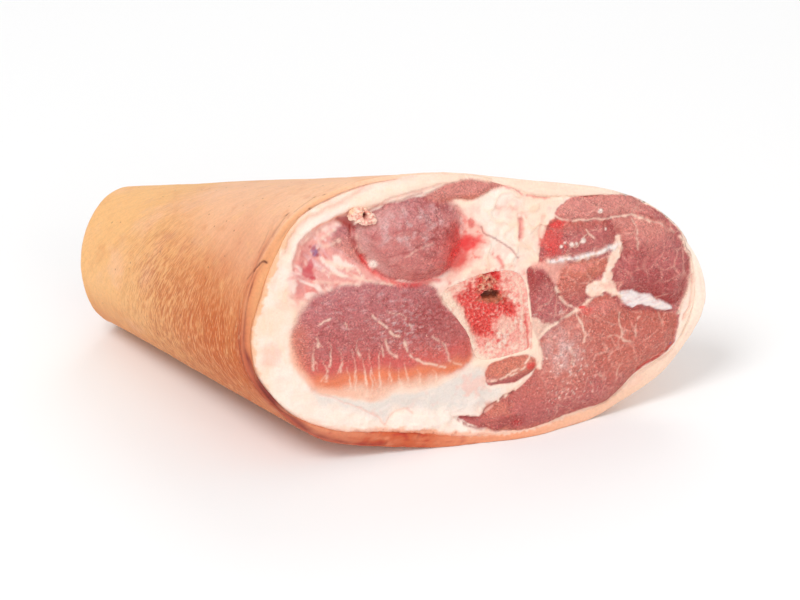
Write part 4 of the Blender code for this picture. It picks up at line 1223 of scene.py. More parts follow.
# Creases beside the cut at the left. Each row: bearing on a full turn, place in millimetres beyond
# the cut's outer corner (negative on the cut edge), strength, and width.
INNER_CREASE = (
    (2.20, -2.0, 0.0, 0.3), (2.36, -2.0, 0.20, 0.35), (2.54, -1.6, 0.35, 0.35), (2.65, -1.6, 0.40, 0.35),
    (2.75, -1.2, 0.50, 0.40), (2.83, 0.2, 0.70, 0.45), (3.00, 0.2, 0.70, 0.50), (3.12, -0.1, 0.85, 0.60),
    (3.17, -0.8, 0.95, 0.90), (3.24, -1.4, 1.0, 1.30), (3.34, -1.2, 1.0, 1.90), (3.42, -1.0, 1.0, 1.90),
    (3.50, -1.0, 0.95, 1.70), (3.62, -1.0, 0.85, 1.30), (3.78, -1.0, 0.55, 0.90), (4.00, -0.8, 0.25, 0.60),
    (4.20, -0.6, 0.0, 0.4),
)
OUTER_CREASE = (
    (2.50, 4.6, 0.0, 0.3), (2.60, 3.5, 0.30, 0.35), (2.69, 2.4, 0.75, 0.35), (2.83, 1.8, 0.65, 0.35),
    (2.90, 2.6, 0.50, 0.35), (2.95, 3.8, 0.45, 0.35), (3.02, 3.2, 0.55, 0.40), (3.10, 2.8, 0.65, 0.40),
    (3.17, 2.6, 0.75, 0.45), (3.30, 2.4, 0.85, 0.55), (3.50, 2.4, 0.65, 0.50), (3.80, 2.2, 0.0, 0.4),
)
# How strongly painted shade darkens the rind beside the creases at the lower left, at bearings on a full
# turn.
SHADE_BESIDE_CREASES = (
    (2.95, 0.0), (3.1, 0.45), (3.25, 0.8), (3.4, 0.95), (3.55, 0.95), (3.7, 0.75), (3.9, 0.35),
    (4.1, 0.0),
)
# Small nicks and dots on the rind: bearing, place, size round the limb and along it, strength.
NICKS = (
    (2.518, 4.8, 0.9, 0.5, 0.7), (2.384, 4.4, 0.5, 0.45, 0.8), (2.365, 1.4, 0.5, 0.45, 0.8),
    (2.375, 3.0, 0.9, 0.3, 0.3), (2.463, -1.8, 0.45, 0.45, 0.7),
)
# A crooked nick at the left and fainter strokes near it: strength, width, and points as bearing and place.
NICK_BEARING = 2.8
STROKES = (
    (0.97, 0.36, ((2.800, 2.1), (2.777, 0.9), (2.756, -0.3), (2.757, -1.9))),
    (0.40, 0.40, ((2.840, 4.0), (2.818, 3.0), (2.800, 2.1))),
    (0.30, 0.35, ((2.64, 2.4), (2.59, 3.0), (2.54, 4.0))),
    (0.30, 0.35, ((2.50, 2.2), (2.45, 2.9), (2.40, 3.8))),
    (0.22, 0.35, ((2.72, 4.6), (2.66, 5.4), (2.61, 6.8))),
)


def paint_skin(paint, profile, band, wave, circle, fine):
    """The rind's outside: mottled peach, yellow and orange-brown, pinker on top and darker orange low down in
    part as painted light and shade, with fine wrinkles and specks.
    """
    points = paint.points
    x, y, z = points.T
    on_skin = step(0.35, 0.1, band)
    broad = rough_noise(points, 38.0, 201)
    middle = rough_noise(points, 12.0, 207)
    paint.blend(SKIN_YELLOW, 0.9 * step(-30, -85, x + 16 * broad))
    # The pinker top is partly the rind's own colour and partly painted light from above.
    top = step(58, 84, z + 6 * broad + 0.12 * x)
    paint.blend(SKIN_PINK, 0.75 * top)
    paint.blend(SKIN_PINK, 0.45 * step(0.1, 0.6, broad + 0.5 * middle))
    faint = rough_noise(points * np.array((0.6, 1.0, 1.0)), 6.5, 213, 3)
    paint.blend(FAINT_BROWN, 0.22 * step(0.15, 0.6, faint) * step(40, 70, z))
    # The orange-brown dome low on the front and the darker orange towards the bottom are partly the rind's
    # own colour and partly painted shade.
    dome = np.exp(-(((x + 16 + 6 * broad) / 42) ** 2 + ((z - 44 - 5 * middle) / 27) ** 2))
    front = step(4, -22, y)
    orange = dome * (front + 0.55 * step(10, 30, y))
    paint.blend(SKIN_ORANGE, np.clip(1.12 * orange + 0.35 * middle * orange, 0, 0.97))
    paint.blend(SKIN_YELLOW, 0.35 * step(24, 8, z + 5 * middle) * step(-20, -60, x))
    paint.blend(SKIN_ORANGE, 0.52 * step(38, 8, z + 4 * middle) * front)
    paint.blend(SKIN_ORANGE, 0.30 * on_skin * front * step(40, 12, z) * step(-60, 10, x))
    beside_cut = on_skin * step(50, 14, profile) * step(103, 84, z) * step(30, 0, y)
    paint.blend(SKIN_ORANGE, 0.30 * beside_cut)
    paint.blend(SKIN_ORANGE, 0.16 * step(0.25, 0.7, -middle - 0.4 * fine))

    run = np.column_stack([wave, 0.26 * circle])
    wrinkles = rough_noise(run, 3.6, 223, 2)
    zone = step(-88, -62, x) * step(18, -20, x) * step(82, 58, z) * step(8, -12, y)
    amount = (0.12 + 0.88 * zone) * on_skin
    paint.height += 0.06 * wrinkles * amount + 0.35 * broad * on_skin + 0.08 * fine
    # Painted shade darkens the wrinkles' valleys and painted light brightens their ridges.
    paint.blend(SKIN_ORANGE, 0.12 * amount * step(0.05, 0.6, -wrinkles))
    paint.blend(SKIN_YELLOW, 0.12 * amount * step(0.15, 0.6, wrinkles))
    blotches = rough_noise(points, 7.0, 225, 3)
    paint.blend(SKIN_YELLOW, 0.24 * on_skin * step(0.1, 0.6, blotches))
    paint.blend(SKIN_ORANGE, 0.16 * on_skin * step(0.15, 0.6, -blotches))
    specks = step(0.60, 0.78, rough_noise(points, 1.7, 229, 2)) * step(0.0, 0.4, fine)
    paint.blend(CREASE_SHADE_AND_SPECKS, 0.30 * specks * on_skin)


def paint_edge(paint, profile, turn, band, circle, fine):
    """The rind's cut edge: like skin at the left, red at the lower left, peach below, pale at the right."""

    def facing(place, spread):
        """How nearly each point of the rim faces a bearing."""
        return bump(apart(turn, place), spread)

    tone = rough_noise(np.column_stack([0.35 * circle, band * 6]), 3.0, 233)
    on_band = step(0.35, 0.8, band)
    lower_left = facing(4.05, 0.50)
    left = facing(2.85, 0.70)
    paint.blend(BAND_PEACH, on_band * (0.92 + 0.12 * tone))
    paint.blend(BAND_PALE, on_band * np.clip(facing(0.15, 0.70) + 0.6 * facing(1.5, 0.7), 0, 0.95))
    paint.blend(BAND_LOW, 0.95 * on_band * np.clip(1.3 * facing(4.62, 0.62), 0, 1))
    paint.blend(PINK_FAT, 0.30 * on_band * step(0.1, 0.7, tone) * (1 - lower_left))
    paint.blend(SKIN_PEACH, 0.85 * on_band * left)
    paint.blend(SKIN_ORANGE, 0.55 * on_band * facing(3.25, 0.35))
    paint.blend(BAND_ORANGE, on_band * np.clip(0.98 * lower_left + 0.35 * lower_left * tone, 0, 0.97))
    paint.blend(CLOT, 0.65 * on_band * lower_left * step(0.05, 0.5, tone + 0.6 * fine))
    paint.blend(BAND_LOW, 0.40 * on_band * lower_left * step(0.25, 0.7, -tone - 0.5 * fine))
    ragged = band + 0.35 * rough_noise(np.column_stack([circle, band * 3]), 2.6, 237, 3)
    paint.blend(CREAM, 0.90 * step(1.72, 1.95, ragged) * (1 - np.clip(1.7 * (left + lower_left), 0, 1)))
    # A broad band of painted shade beside the creases at the lower left, striped dark and pale pink.
    shade = np.interp(turn, *np.array(SHADE_BESIDE_CREASES).T, left=0, right=0)
    stripes = rough_noise(np.column_stack([0.10 * circle, profile]), 1.5, 239, 3)
    shaded_band = shade * bump(profile - 0.6 + 0.8 * noise(circle, 8.0, 247), 3.0) * (profile < FAR / 2)
    paint.blend(BROAD_SHADE_BROWN, 0.85 * shaded_band * (1 - step(1.5, 1.9, band)))
    paint.blend(CREASE_SHADE_AND_SPECKS, 0.7 * shaded_band * step(0.1, 0.45, stripes))
    paint.blend(SKIN_PINK, 0.30 * shaded_band * step(0.15, 0.5, -stripes))
    paint.height += 0.35 * shaded_band * stripes
    paint.height += 0.3 * on_band * tone
    folds = rough_noise(np.column_stack([0.9 * circle, profile * 0.35]), 3.4, 235, 3)
    paint.height += 0.35 * folds * on_band * (0.3 + lower_left)
    # Painted shade in the hollows of the folds at the lower left.
    paint.blend(CREASE_SHADE_AND_SPECKS, 0.40 * lower_left * on_band * step(0.30, 0.65, -folds))


def paint_creases(paint, profile, turn, circle):
    """The two creases beside the cut at the left, sunk and painted dark as shade."""
    for seed, rows in enumerate((INNER_CREASE, OUTER_CREASE)):
        bearings, places, strengths, widths = np.array(rows).T
        strength = np.interp(turn, bearings, strengths, left=0, right=0)
        place = np.interp(turn, bearings, places)
        place = place + 0.45 * noise(circle, 9.0, 241 + seed) + 0.2 * noise(circle, 2.6, 243 + seed)
        width = np.interp(turn, bearings, widths)
        thin = 0.65 + 0.5 * noise(circle, 6.0, 245 + seed)
        crease = bump(profile - place, width) * (profile < FAR / 2)
        paint.blend(CREASE_SHADE_AND_SPECKS, np.clip(strength * thin, 0, 1) * crease)
        paint.height -= (0.65 - 0.3 * seed) * strength * crease
        halo = bump(profile - place, width + 1.6) * strength
        paint.blend(BAND_ORANGE, 0.55 * halo * (1 - crease))


def paint_nicks(paint, profile, bearing):
    """Small nicks and dots, the crooked nick at the left and the fainter strokes near it."""
    for place, beyond, wide, long, strength in NICKS:
        across = GIRTH_RADIUS * apart(bearing, place)
        mark = bump(np.hypot(across / wide, (profile - beyond) / long), 1)
        paint.blend(NICK_DARK, strength * mark)
        paint.height -= 0.4 * strength * mark
    unrolled = np.column_stack([GIRTH_RADIUS * apart(bearing, NICK_BEARING), profile])
    for strength, width, line in STROKES:
        marks = [(GIRTH_RADIUS * (place - NICK_BEARING), beyond) for place, beyond in line]
        mark = bump(off_line(unrolled, marks), width) * (profile < FAR / 2)
        paint.blend(NICK_DARK, strength * mark)
        paint.height -= 0.5 * strength * mark


def paint_rind(points, profile, bearing, band, wave):
    """The rind's colours and relief: outside, and across its thickness at the cut."""
    paint = Paint(points, SKIN_PEACH)
    turn = np.mod(bearing, 2 * math.pi)
    circle = GIRTH_RADIUS * np.stack([np.cos(bearing), np.sin(bearing)], axis=1)
    fine = rough_noise(points, 3.0, 211)
    paint_skin(paint, profile, band, wave, circle, fine)
    paint_edge(paint, profile, turn, band, circle, fine)
    paint_creases(paint, profile, turn, circle)
    paint_nicks(paint, profile, bearing)
    return paint


def make_rind(material):
    """The rind: a thick skin from the thick cut to the thin end, with its cut edge."""
    # Points lie closer together round the left of the cut, where the creases and nicks are.
    edge = evenly(smooth_loop(RIM), 8 * AROUND)
    off_fine = np.arctan2(edge[:, 1] - FACE_MIDDLE[1], edge[:, 0] - FACE_MIDDLE[0]) - FINE_BEARING
    share = np.cumsum(1 + FINE_GAIN * bump(apart(off_fine, 0.0), FINE_SPREAD))
    wanted = np.arange(AROUND) / AROUND * share[-1]
    edge = np.stack([np.interp(wanted, share, column) for column in edge.T], axis=1)
    rim_flat, rim_lift = edge[:, :2], edge[:, 2]
    rim = on_cut(rim_flat, rim_lift)
    arms = rim - CUT_MIDDLE
    turns = np.arctan2(arms @ LIMB_TOP, arms @ LIMB_SIDE)
    hock = on_hock(HOCK_HALF_WIDTH * np.cos(turns), HOCK_HALF_HEIGHT * np.sin(turns))
    spokes = rim_flat - FACE_MIDDLE
    bearing = np.arctan2(spokes[:, 1], spokes[:, 0])
    inward = -spokes / np.linalg.norm(spokes, axis=1)[:, None]
    width = np.linalg.norm(spokes, axis=1) - reach(smooth_loop(FACE_EDGE), FACE_MIDDLE, bearing)
    width = np.maximum(width, RIND_LEAST)
    inward_in_space = on_cut(inward) - CUT_MIDDLE
    pulled = np.zeros(AROUND)
    for place, spread, far in RETRACTED:
        pulled += far * bump(apart(bearing, place), spread)
    length = np.linalg.norm(hock - rim, axis=1)

    rings, profile, band = [], [], []

    def add_ring(points, beyond, place):
        """Keeps a ring of points, how far they lie beyond the outer corner, and their band mask."""
        rings.append(points)
        profile.append(np.broadcast_to(beyond, (AROUND,)))
        band.append(np.full(AROUND, place))

    # Up the rind's inner wall, over its cut edge, and round the outer corner.
    for down, sideways, place in INNER_WALL:
        inset = width * sideways
        outside, _ = body_point(rim, hock, (down + pulled) / length)
        add_ring(outside + inset[:, None] * inward_in_space, -inset, place)
    for share in BAND_SHARES:
        inset = RIND_ROUND + (width - RIND_ROUND) * share
        flat = rim_flat + inward * inset[:, None]
        dome = 0.2 + 0.45 * math.sin(math.pi * share)
        add_ring(on_cut(flat, rim_lift + dome) + pulled[:, None] * LIMB_ALONG, -inset, 1 + share)
    for angle in CORNER_ANGLES:
        inset = RIND_ROUND * (1 - math.cos(angle))
        lower = RIND_ROUND * (1 - math.sin(angle))
        flat = rim_flat + inward * inset
        points = on_cut(flat, rim_lift + 0.3) + (lower + pulled)[:, None] * LIMB_ALONG
        add_ring(points, lower - inset, 0.4 + 0.55 * math.sin(angle))
    for distance in np.linspace(RIND_ROUND, NEAR_CUT, NEAR_RINGS):
        points, _ = body_point(rim, hock, (distance + pulled) / length)
        add_ring(points, distance, 0.0)
    start = (NEAR_CUT + pulled) / length
    for t in np.linspace(0, 1, BODY_RINGS - NEAR_RINGS + 1)[1:]:
        share = start + (1 - start) * t
        points, _ = body_point(rim, hock, share)
        add_ring(points, share * length, 0.0)
    last, _ = body_point(rim, hock, 1.0)
    inwards = (HOCK_MIDDLE - last) / np.linalg.norm(HOCK_MIDDLE - last, axis=1)[:, None]
    for angle in HOCK_ANGLES:
        ring = last + HOCK_ROUND * (
            (1 - math.cos(angle)) * inwards + HOCK_BULGE * math.sin(angle) * LIMB_ALONG
        )
        add_ring(ring, length + angle * HOCK_ROUND, 0.2 * (angle > 1.2))
    for inset, back in HOCK_LIP:
        add_ring(last + inset * inwards + (HOCK_BULGE * HOCK_ROUND - back) * LIMB_ALONG, length + 10.0, 1.5)
    for share in HIDDEN_SHARES:
        points, outwards = body_point(rim, hock, share)
        add_ring(points - HIDDEN_DEPTH * outwards, FAR, 2.4)

    points = np.vstack(rings)
    count = len(rings)
    bearings = np.tile(bearing, count)
    profiles = np.concatenate(profile)
    slant = 0.38 * step(5, 45, profiles) * GIRTH_RADIUS * np.sin(bearings)
    wave = profiles + slant
    bands = np.concatenate(band)
    paint = paint_rind(points, profiles, bearings, bands, wave)
    numbers = np.arange(len(points)).reshape(count, AROUND)
    grid = points.reshape(count, AROUND, 3)
    run = np.roll(grid, -1, axis=1) - np.roll(grid, 1, axis=1)
    climb = np.roll(grid, -1, axis=0) - np.roll(grid, 1, axis=0)
    normal = np.cross(run, climb)
    normal /= np.linalg.norm(normal, axis=-1, keepdims=True) + EPSILON
    outer = count // 2
    if ((grid[outer] - (CUT_MIDDLE + HOCK_MIDDLE) / 2) * normal[outer]).sum() < 0:
        normal = -normal
    shown = np.ones((count, AROUND))
    shown[-PLAIN_LAST:] = 0.0
    shown[:PLAIN_FIRST] = 0.0
    height = paint.height.reshape(count, AROUND) * shown
    points = rested((grid + height[..., None] * normal).reshape(-1, 3))
    faces = [ring_faces(numbers[k], numbers[(k + 1) % count]) for k in range(count)]
    return make_piece(
        "rind", material, points, np.vstack(faces), [], paint.colour, {"wave": wave, "band": bands},
    )


HOCK_GRID = (150, 150)
HOCK_AROUND = 360
# How far the cut of the thin end stays inside the limb, to the side and up.
HOCK_INSET = (4.4, 5.4)
# The thin end's muscles: place and size of each.
HOCK_MUSCLES = (
    ((-11.0, 13.2), (8.2, 3.6)), ((2.0, 16.6), (3.6, 2.4)), ((13.6, 9.2), (3.4, 5.6)),
    ((17.2, -3.4), (1.9, 3.0)), ((9.4, -15.4), (5.8, 2.9)), ((-7.6, -16.0), (5.2, 3.4)),
    ((-17.4, 1.6), (2.4, 5.2)), ((-15.2, -9.2), (2.6, 2.4)),
)
# Rings down from its rim: size as a share of the rim, and depth.
HOCK_RINGS = ((0.99, 3.0), (0.97, 8.0), (0.5, 8.0))


def make_hock_end(material):
    """The thin end's cut: a ring of fat, thin muscles and tendons round the bone."""
    turns = np.linspace(0, 2 * math.pi, HOCK_AROUND + 1)[:-1]
    across, up = HOCK_HALF_WIDTH - HOCK_INSET[0], HOCK_HALF_HEIGHT - HOCK_INSET[1]
    loop = np.stack([across * np.cos(turns), up * np.sin(turns)], axis=1)
    disc, quads, rim = disc_grid(*HOCK_GRID)
    flat = spread_disc(disc, loop, np.zeros(2), (1.0, 1.0))
    paint = Paint(flat, CREAM)
    fine = rough_noise(flat, 3.0, 301)
    grain = rough_noise(flat, 0.9, 307, 2)
    paint.height += 0.3 * rough_noise(flat, 9.0, 311) + 0.12 * fine
    paint.mottle(PINK_FAT, 0.6, -0.1, 0.6, 6.0, 313)
    paint.blend(WHITE_FAT, 0.6 * step(19.0, 24.0, np.linalg.norm(flat, axis=1) + fine))
    for seed, (place, size) in enumerate(HOCK_MUSCLES):
        arms = (flat - np.array(place)) / np.array(size)
        radius = np.hypot(arms[:, 0], arms[:, 1]) + 0.42 * rough_noise(flat, 5.0, 320 + seed)
        inside = 1 - step(0.84, 1.12, radius)
        tone = np.array(ROSE if seed % 2 else ROSY) * (1 + 0.14 * fine[:, None] + 0.10 * grain[:, None])
        paint.colour += inside[:, None] * (tone - paint.colour)
        paint.meat = np.maximum(paint.meat, inside)
        paint.height += 0.9 * inside - 0.5 * bump(radius - 1.0, 0.12)
    around_bone = np.hypot(flat[:, 0] / (BONE_HOCK_WIDTH / 2), flat[:, 1] / (BONE_HOCK_HEIGHT / 2))
    paint.blend(BONE_WHITE, 0.7 * bump(around_bone - 1.05, 0.14))
    hollow = HOCK_HOLLOW * np.sin(math.pi * np.clip(np.linalg.norm(disc, axis=1), 0, 1)) * 0.5
    height = paint.height - hollow - SOCKET_DEPTH * step(1.03, 0.94, around_bone)
    edge = np.linalg.norm(loop[0]) * (1 - np.linalg.norm(disc, axis=1))
    height -= 1.2 * bump(np.maximum(edge, 0), 1.4)

    def place(flat_points, out):
        """Points of the thin end's cut, lifted out of it, in space."""
        return (
            HOCK_MIDDLE + flat_points[:, :1] * LIMB_SIDE + flat_points[:, 1:] * LIMB_TOP
            + (HOCK_BULGE * HOCK_ROUND - 0.3 + out)[:, None] * LIMB_ALONG
        )

    plain = np.tile(np.array(CREAM), (len(rim), 1)), np.zeros(len(rim))
    rings = [(place(flat[rim] * shrink, np.full(len(rim), -down)), *plain) for shrink, down in HOCK_RINGS]
    return make_slab("hock_end", material, rested(place(flat, height)), quads, rim, paint, rings)


SHRED_MIDDLE = (-41.6, 44.6)
SHRED_SIZE = (4.4, 3.3, 2.4)
SHRED_HOLE = (-41.0, 45.0)
SHRED_HOLE_SIZE = (0.9, 1.5)
SHRED_GRID = (90, 120)
SHRED_LIFT = 2.4


def make_shred(material):
    """The torn scrap of fat at the upper left, with a dark hole in it."""
    rows, columns = SHRED_GRID
    tilt = np.linspace(0.02, math.pi - 0.02, rows)
    turn = np.arange(columns) / columns * 2 * math.pi
    tilt, turn = np.meshgrid(tilt, turn, indexing="ij")
    ball = np.stack([np.sin(tilt) * np.cos(turn), np.sin(tilt) * np.sin(turn), np.cos(tilt)], axis=-1)
    ball = ball.reshape(-1, 3)
    torn = np.abs(rough_noise(ball, 0.55, 405, 3))
    lump = 0.95 + 0.55 * noise(ball, 1.3, 401) + 0.30 * torn
    shape = ball * lump[:, None] * np.array(SHRED_SIZE)
    shape += 0.95 * shifts(shape, 2.0, (409, 413, 417), 3)
    flat = np.array(SHRED_MIDDLE) + shape[:, :2]
    from_hole = np.linalg.norm((flat - np.array(SHRED_HOLE)) / np.array(SHRED_HOLE_SIZE), axis=1)
    hole = bump(from_hole, 0.75) * (shape[:, 2] > 0)
    paint = Paint(flat, CREAM)
    crumbly = rough_noise(shape, 1.5, 421, 3)
    paint.blend(PINK_FAT, step(-0.1, 0.5, crumbly) * 0.8)
    paint.blend(BRIGHT_RED, 0.45 * step(0.16, 0.04, torn))
    yellowed = rough_noise(shape, 2.6, 431) + 0.10 * shape[:, 1] - 0.1
    paint.blend(SKIN_YELLOW, 0.45 * step(0.0, 0.5, yellowed))
    # The hole is painted dark as shade.
    paint.blend(HOLE_SHADE, 0.95 * hole)
    height = SHRED_LIFT + shape[:, 2] + 0.35 * crumbly - 3.0 * hole
    points = rested(on_cut(flat, height))
    index = np.arange(rows * columns).reshape(rows, columns)
    quads = np.vstack([ring_faces(index[k], index[k + 1]) for k in range(rows - 1)])
    ends = [index[0][::-1], index[-1]]
    masks = {"meat": np.zeros(len(points))}
    return make_piece("fat_shred", material, points, quads, ends, paint.colour, masks)


class Nodes:
    """Short calls for building a material's node tree."""

    def __init__(self, name):
        self.material = bpy.data.materials.new(name)
        self.material.use_nodes = True
        self.tree = self.material.node_tree
        self.shader = self.tree.nodes["Principled BSDF"]

    def put(self, value, socket):
        """Links a value in where it comes out of another node, and otherwise sets it."""
        if isinstance(value, bpy.types.NodeSocket):
            self.tree.links.new(value, socket)
        else:
            socket.default_value = value

    def add(self, kind, values=None, **settings):
        """A new node with some values on its inputs."""
        node = self.tree.nodes.new(kind)
        for key, value in settings.items():
            setattr(node, key, value)
        for key, value in (values or {}).items():
            self.put(value, node.inputs[key])
        return node

    def attribute(self, name, output="Fac"):
        """What the mesh keeps on its points under a name."""
        return self.add("ShaderNodeAttribute", attribute_name=name).outputs[output]

    def maths(self, operation, first, second=0.0, third=0.0):
        """Two or three values brought together."""
        return self.add("ShaderNodeMath", {0: first, 1: second, 2: third}, operation=operation).outputs[0]

    def times(self, first, second):
        """One value times another."""
        return self.maths("MULTIPLY", first, second)

    def between(self, amount, first, second):
        """A value between two others."""
        return self.add("ShaderNodeMix", {"Factor": amount, "A": first, "B": second}).outputs[0]

    def place(self, scale):
        """The object's own place in millimetres, stretched."""
        coordinates = self.add("ShaderNodeTexCoord").outputs["Object"]
        return self.add("ShaderNodeMapping", {"Vector": coordinates, "Scale": scale}).outputs[0]

    def noise(self, place, scale, detail=3.0, roughness=0.6, distortion=0.0):
        """Noise from 0 to 1."""
        values = {"Vector": place, "Scale": scale, "Detail": detail, "Roughness": roughness}
        values["Distortion"] = distortion
        return self.add("ShaderNodeTexNoise", values).outputs["Fac"]

    def cells(self, place, scale, feature="F1"):
        """Distance in a pattern of uneven cells."""
        values = {"Vector": place, "Scale": scale}
        return self.add("ShaderNodeTexVoronoi", values, feature=feature).outputs["Distance"]

    def remap(self, value, low, high, new_low, new_high):
        """A value spread from one range onto another, and held at its ends."""
        return self.add("ShaderNodeMapRange", {
            "Value": value, "From Min": low, "From Max": high, "To Min": new_low, "To Max": new_high,
        }).outputs[0]

    def shade(self, colour, amount):
        """The colour made lighter or darker by an amount round 1."""
        return self.add("ShaderNodeVectorMath", {0: colour, "Scale": amount}, operation="SCALE").outputs[0]

    def mix(self, amount, first, second):
        """A colour between two others."""
        node = self.add("ShaderNodeMix", {"Factor": amount}, data_type="RGBA")
        self.put(first, node.inputs[6])
        self.put(second, node.inputs[7])
        return node.outputs[2]

    def bump(self, height, strength, distance):
        """The surface's direction, changed by a fine relief."""
        values = {"Height": height, "Strength": strength, "Distance": distance}
        return self.add("ShaderNodeBump", values).outputs[0]

    def finish(self, **inputs):
        """The material, with its shader's inputs filled in."""
        for key, value in inputs.items():
            self.put(value, self.shader.inputs[key.replace("_", " ")])
        return self.material


PER_METRE = (1000.0, 1000.0, 1000.0)
# How deep light goes into fat, rind and bone.
SKIN_DEPTH = 0.0015
# Pale flecks painted as glints on wet muscle.
PAINTED_GLINT = (0.92, 0.50, 0.41, 1.0)
# Painted shade in the wrinkles' valleys and painted light on their ridges.
WRINKLE_VALLEY_SHADE = (0.48, 0.115, 0.03, 1.0)
WRINKLE_RIDGE_LIGHT = (0.98, 0.60, 0.30, 1.0)
STUBBLE = (0.26, 0.08, 0.04, 1.0)


def meat_material():
    """Moist fat and muscle: the tint and meat masks, with fine grain, cracks, pale flecks painted as glints,
    and sheen.
    """
    nodes = Nodes("moist_meat")
    place = nodes.place(PER_METRE)
    tint = nodes.attribute("tint", "Color")
    meat = nodes.attribute("meat")
    grain = nodes.noise(place, 1.35, 5.0, 0.75)
    coarse = nodes.noise(place, 0.28, 3.0, 0.5)
    sway = nodes.add("ShaderNodeTexNoise", {"Vector": place, "Scale": 0.45, "Detail": 3.0}).outputs["Color"]
    values = {0: sway, 1: (3.0, 3.0, 3.0), 2: place}
    bent = nodes.add("ShaderNodeVectorMath", values, operation="MULTIPLY_ADD")
    cracks = nodes.cells(bent.outputs[0], 0.62, "DISTANCE_TO_EDGE")
    flecks = nodes.noise(place, 1.5, 4.0, 0.75)
    shade = nodes.times(
        nodes.remap(grain, 0.32, 0.68, 0.72, 1.30), nodes.remap(coarse, 0.3, 0.7, 0.94, 1.06),
    )
    cracked = nodes.times(
        nodes.remap(cracks, 0.0, 0.12, 0.36, 0.0), nodes.remap(coarse, 0.42, 0.58, 0.15, 1.0),
    )
    meat_shade = nodes.maths("MAXIMUM", nodes.maths("SUBTRACT", shade, cracked), 0.62)
    amount = nodes.between(meat, nodes.remap(grain, 0.32, 0.68, 0.93, 1.06), meat_shade)
    colour = nodes.shade(tint, amount)
    # Pale flecks on the muscle are painted glints.
    pale = nodes.times(
        nodes.remap(flecks, 0.57, 0.67, 0.0, 0.74), nodes.remap(coarse, 0.42, 0.56, 0.3, 1.0),
    )
    colour = nodes.mix(nodes.times(pale, meat), colour, PAINTED_GLINT)
    wet = nodes.remap(nodes.noise(place, 0.55, 4.0, 0.7), 0.35, 0.7, 0.24, 0.50)
    relief = nodes.maths("SUBTRACT", nodes.times(grain, 0.6), nodes.times(cracked, 0.5))
    normal = nodes.bump(relief, nodes.remap(meat, 0.0, 1.0, 0.20, 0.70), 0.0007)
    return nodes.finish(
        Base_Color=colour, Roughness=wet, Normal=normal, Subsurface_Weight=0.10,
        Subsurface_Radius=(1.0, 0.35, 0.22), Subsurface_Scale=SKIN_DEPTH, Specular_IOR_Level=0.35,
        Coat_Weight=0.16, Coat_Roughness=0.16, Coat_Normal=normal,
    )


def bone_material():
    """Sawn bone: pale rim and wet red spongy middle."""
    nodes = Nodes("sawn_bone")
    place = nodes.place(PER_METRE)
    tint = nodes.attribute("tint", "Color")
    pores = nodes.cells(place, 1.25)
    grain = nodes.noise(place, 1.6, 4.0, 0.7)
    spongy = nodes.times(
        nodes.remap(pores, 0.05, 0.6, 1.14, 0.82), nodes.remap(grain, 0.32, 0.68, 0.80, 1.20),
    )
    meat = nodes.attribute("meat")
    colour = nodes.shade(tint, nodes.between(meat, nodes.remap(grain, 0.32, 0.68, 0.92, 1.07), spongy))
    normal = nodes.bump(nodes.maths("SUBTRACT", grain, pores), 0.6, 0.0006)
    return nodes.finish(
        Base_Color=colour, Roughness=nodes.remap(grain, 0.3, 0.7, 0.28, 0.50), Normal=normal,
        Subsurface_Weight=0.10, Subsurface_Radius=(1.0, 0.4, 0.25), Subsurface_Scale=SKIN_DEPTH,
        Specular_IOR_Level=0.35,
    )


def rind_material():
    """Scalded rind: fine wrinkles across the limb with painted shade in their valleys and painted light on
    their ridges, pores and stubble dots.
    """
    nodes = Nodes("scalded_rind")
    place = nodes.place(PER_METRE)
    tint = nodes.attribute("tint", "Color")
    wave = nodes.attribute("wave")
    on_skin = nodes.remap(nodes.attribute("band"), 0.2, 0.6, 1.0, 0.0)
    axes = nodes.add("ShaderNodeSeparateXYZ", {0: place}).outputs
    run = nodes.add("ShaderNodeCombineXYZ", {
        "X": wave, "Y": nodes.times(axes[1], 0.20), "Z": nodes.times(axes[2], 0.20),
    }).outputs[0]
    fine_lines = nodes.noise(run, 1.50, 2.0, 0.55, 0.25)
    lines = nodes.noise(run, 0.42, 3.0, 0.6, 0.5)
    where = nodes.times(
        nodes.remap(axes[0], -20.0, 20.0, 1.0, 0.25), nodes.remap(axes[2], 56.0, 80.0, 1.0, 0.12),
    )
    where = nodes.times(where, nodes.remap(axes[0], -92.0, -62.0, 0.12, 1.0))
    where = nodes.times(where, on_skin)
    pores = nodes.cells(place, 0.8)
    grain = nodes.noise(place, 0.9, 4.0, 0.6)
    # The wrinkles' valleys get painted shade and their ridges painted light.
    valley_shade = nodes.times(nodes.remap(fine_lines, 0.40, 0.51, 0.56, 0.0), where)
    ridges = nodes.times(nodes.remap(fine_lines, 0.52, 0.64, 0.0, 0.36), where)
    tint = nodes.mix(valley_shade, tint, WRINKLE_VALLEY_SHADE)
    tint = nodes.mix(ridges, tint, WRINKLE_RIDGE_LIGHT)
    shade = nodes.times(
        nodes.remap(lines, 0.35, 0.65, 0.97, 1.03), nodes.remap(grain, 0.3, 0.7, 0.94, 1.06),
    )
    shade = nodes.times(shade, nodes.remap(pores, 0.05, 0.35, 0.95, 1.0))
    colour = nodes.shade(tint, shade)
    dots = nodes.remap(nodes.cells(place, 0.16), 0.045, 0.085, 0.5, 0.0)
    colour = nodes.mix(nodes.times(dots, on_skin), colour, STUBBLE)
    relief = nodes.maths("ADD", nodes.times(fine_lines, where), nodes.times(grain, 0.30))
    normal = nodes.bump(relief, 0.65, 0.0009)
    return nodes.finish(
        Base_Color=colour, Roughness=nodes.remap(grain, 0.3, 0.7, 0.48, 0.64), Normal=normal,
        Subsurface_Weight=0.08, Subsurface_Radius=(1.0, 0.45, 0.25), Subsurface_Scale=SKIN_DEPTH,
        Specular_IOR_Level=0.22,
    )


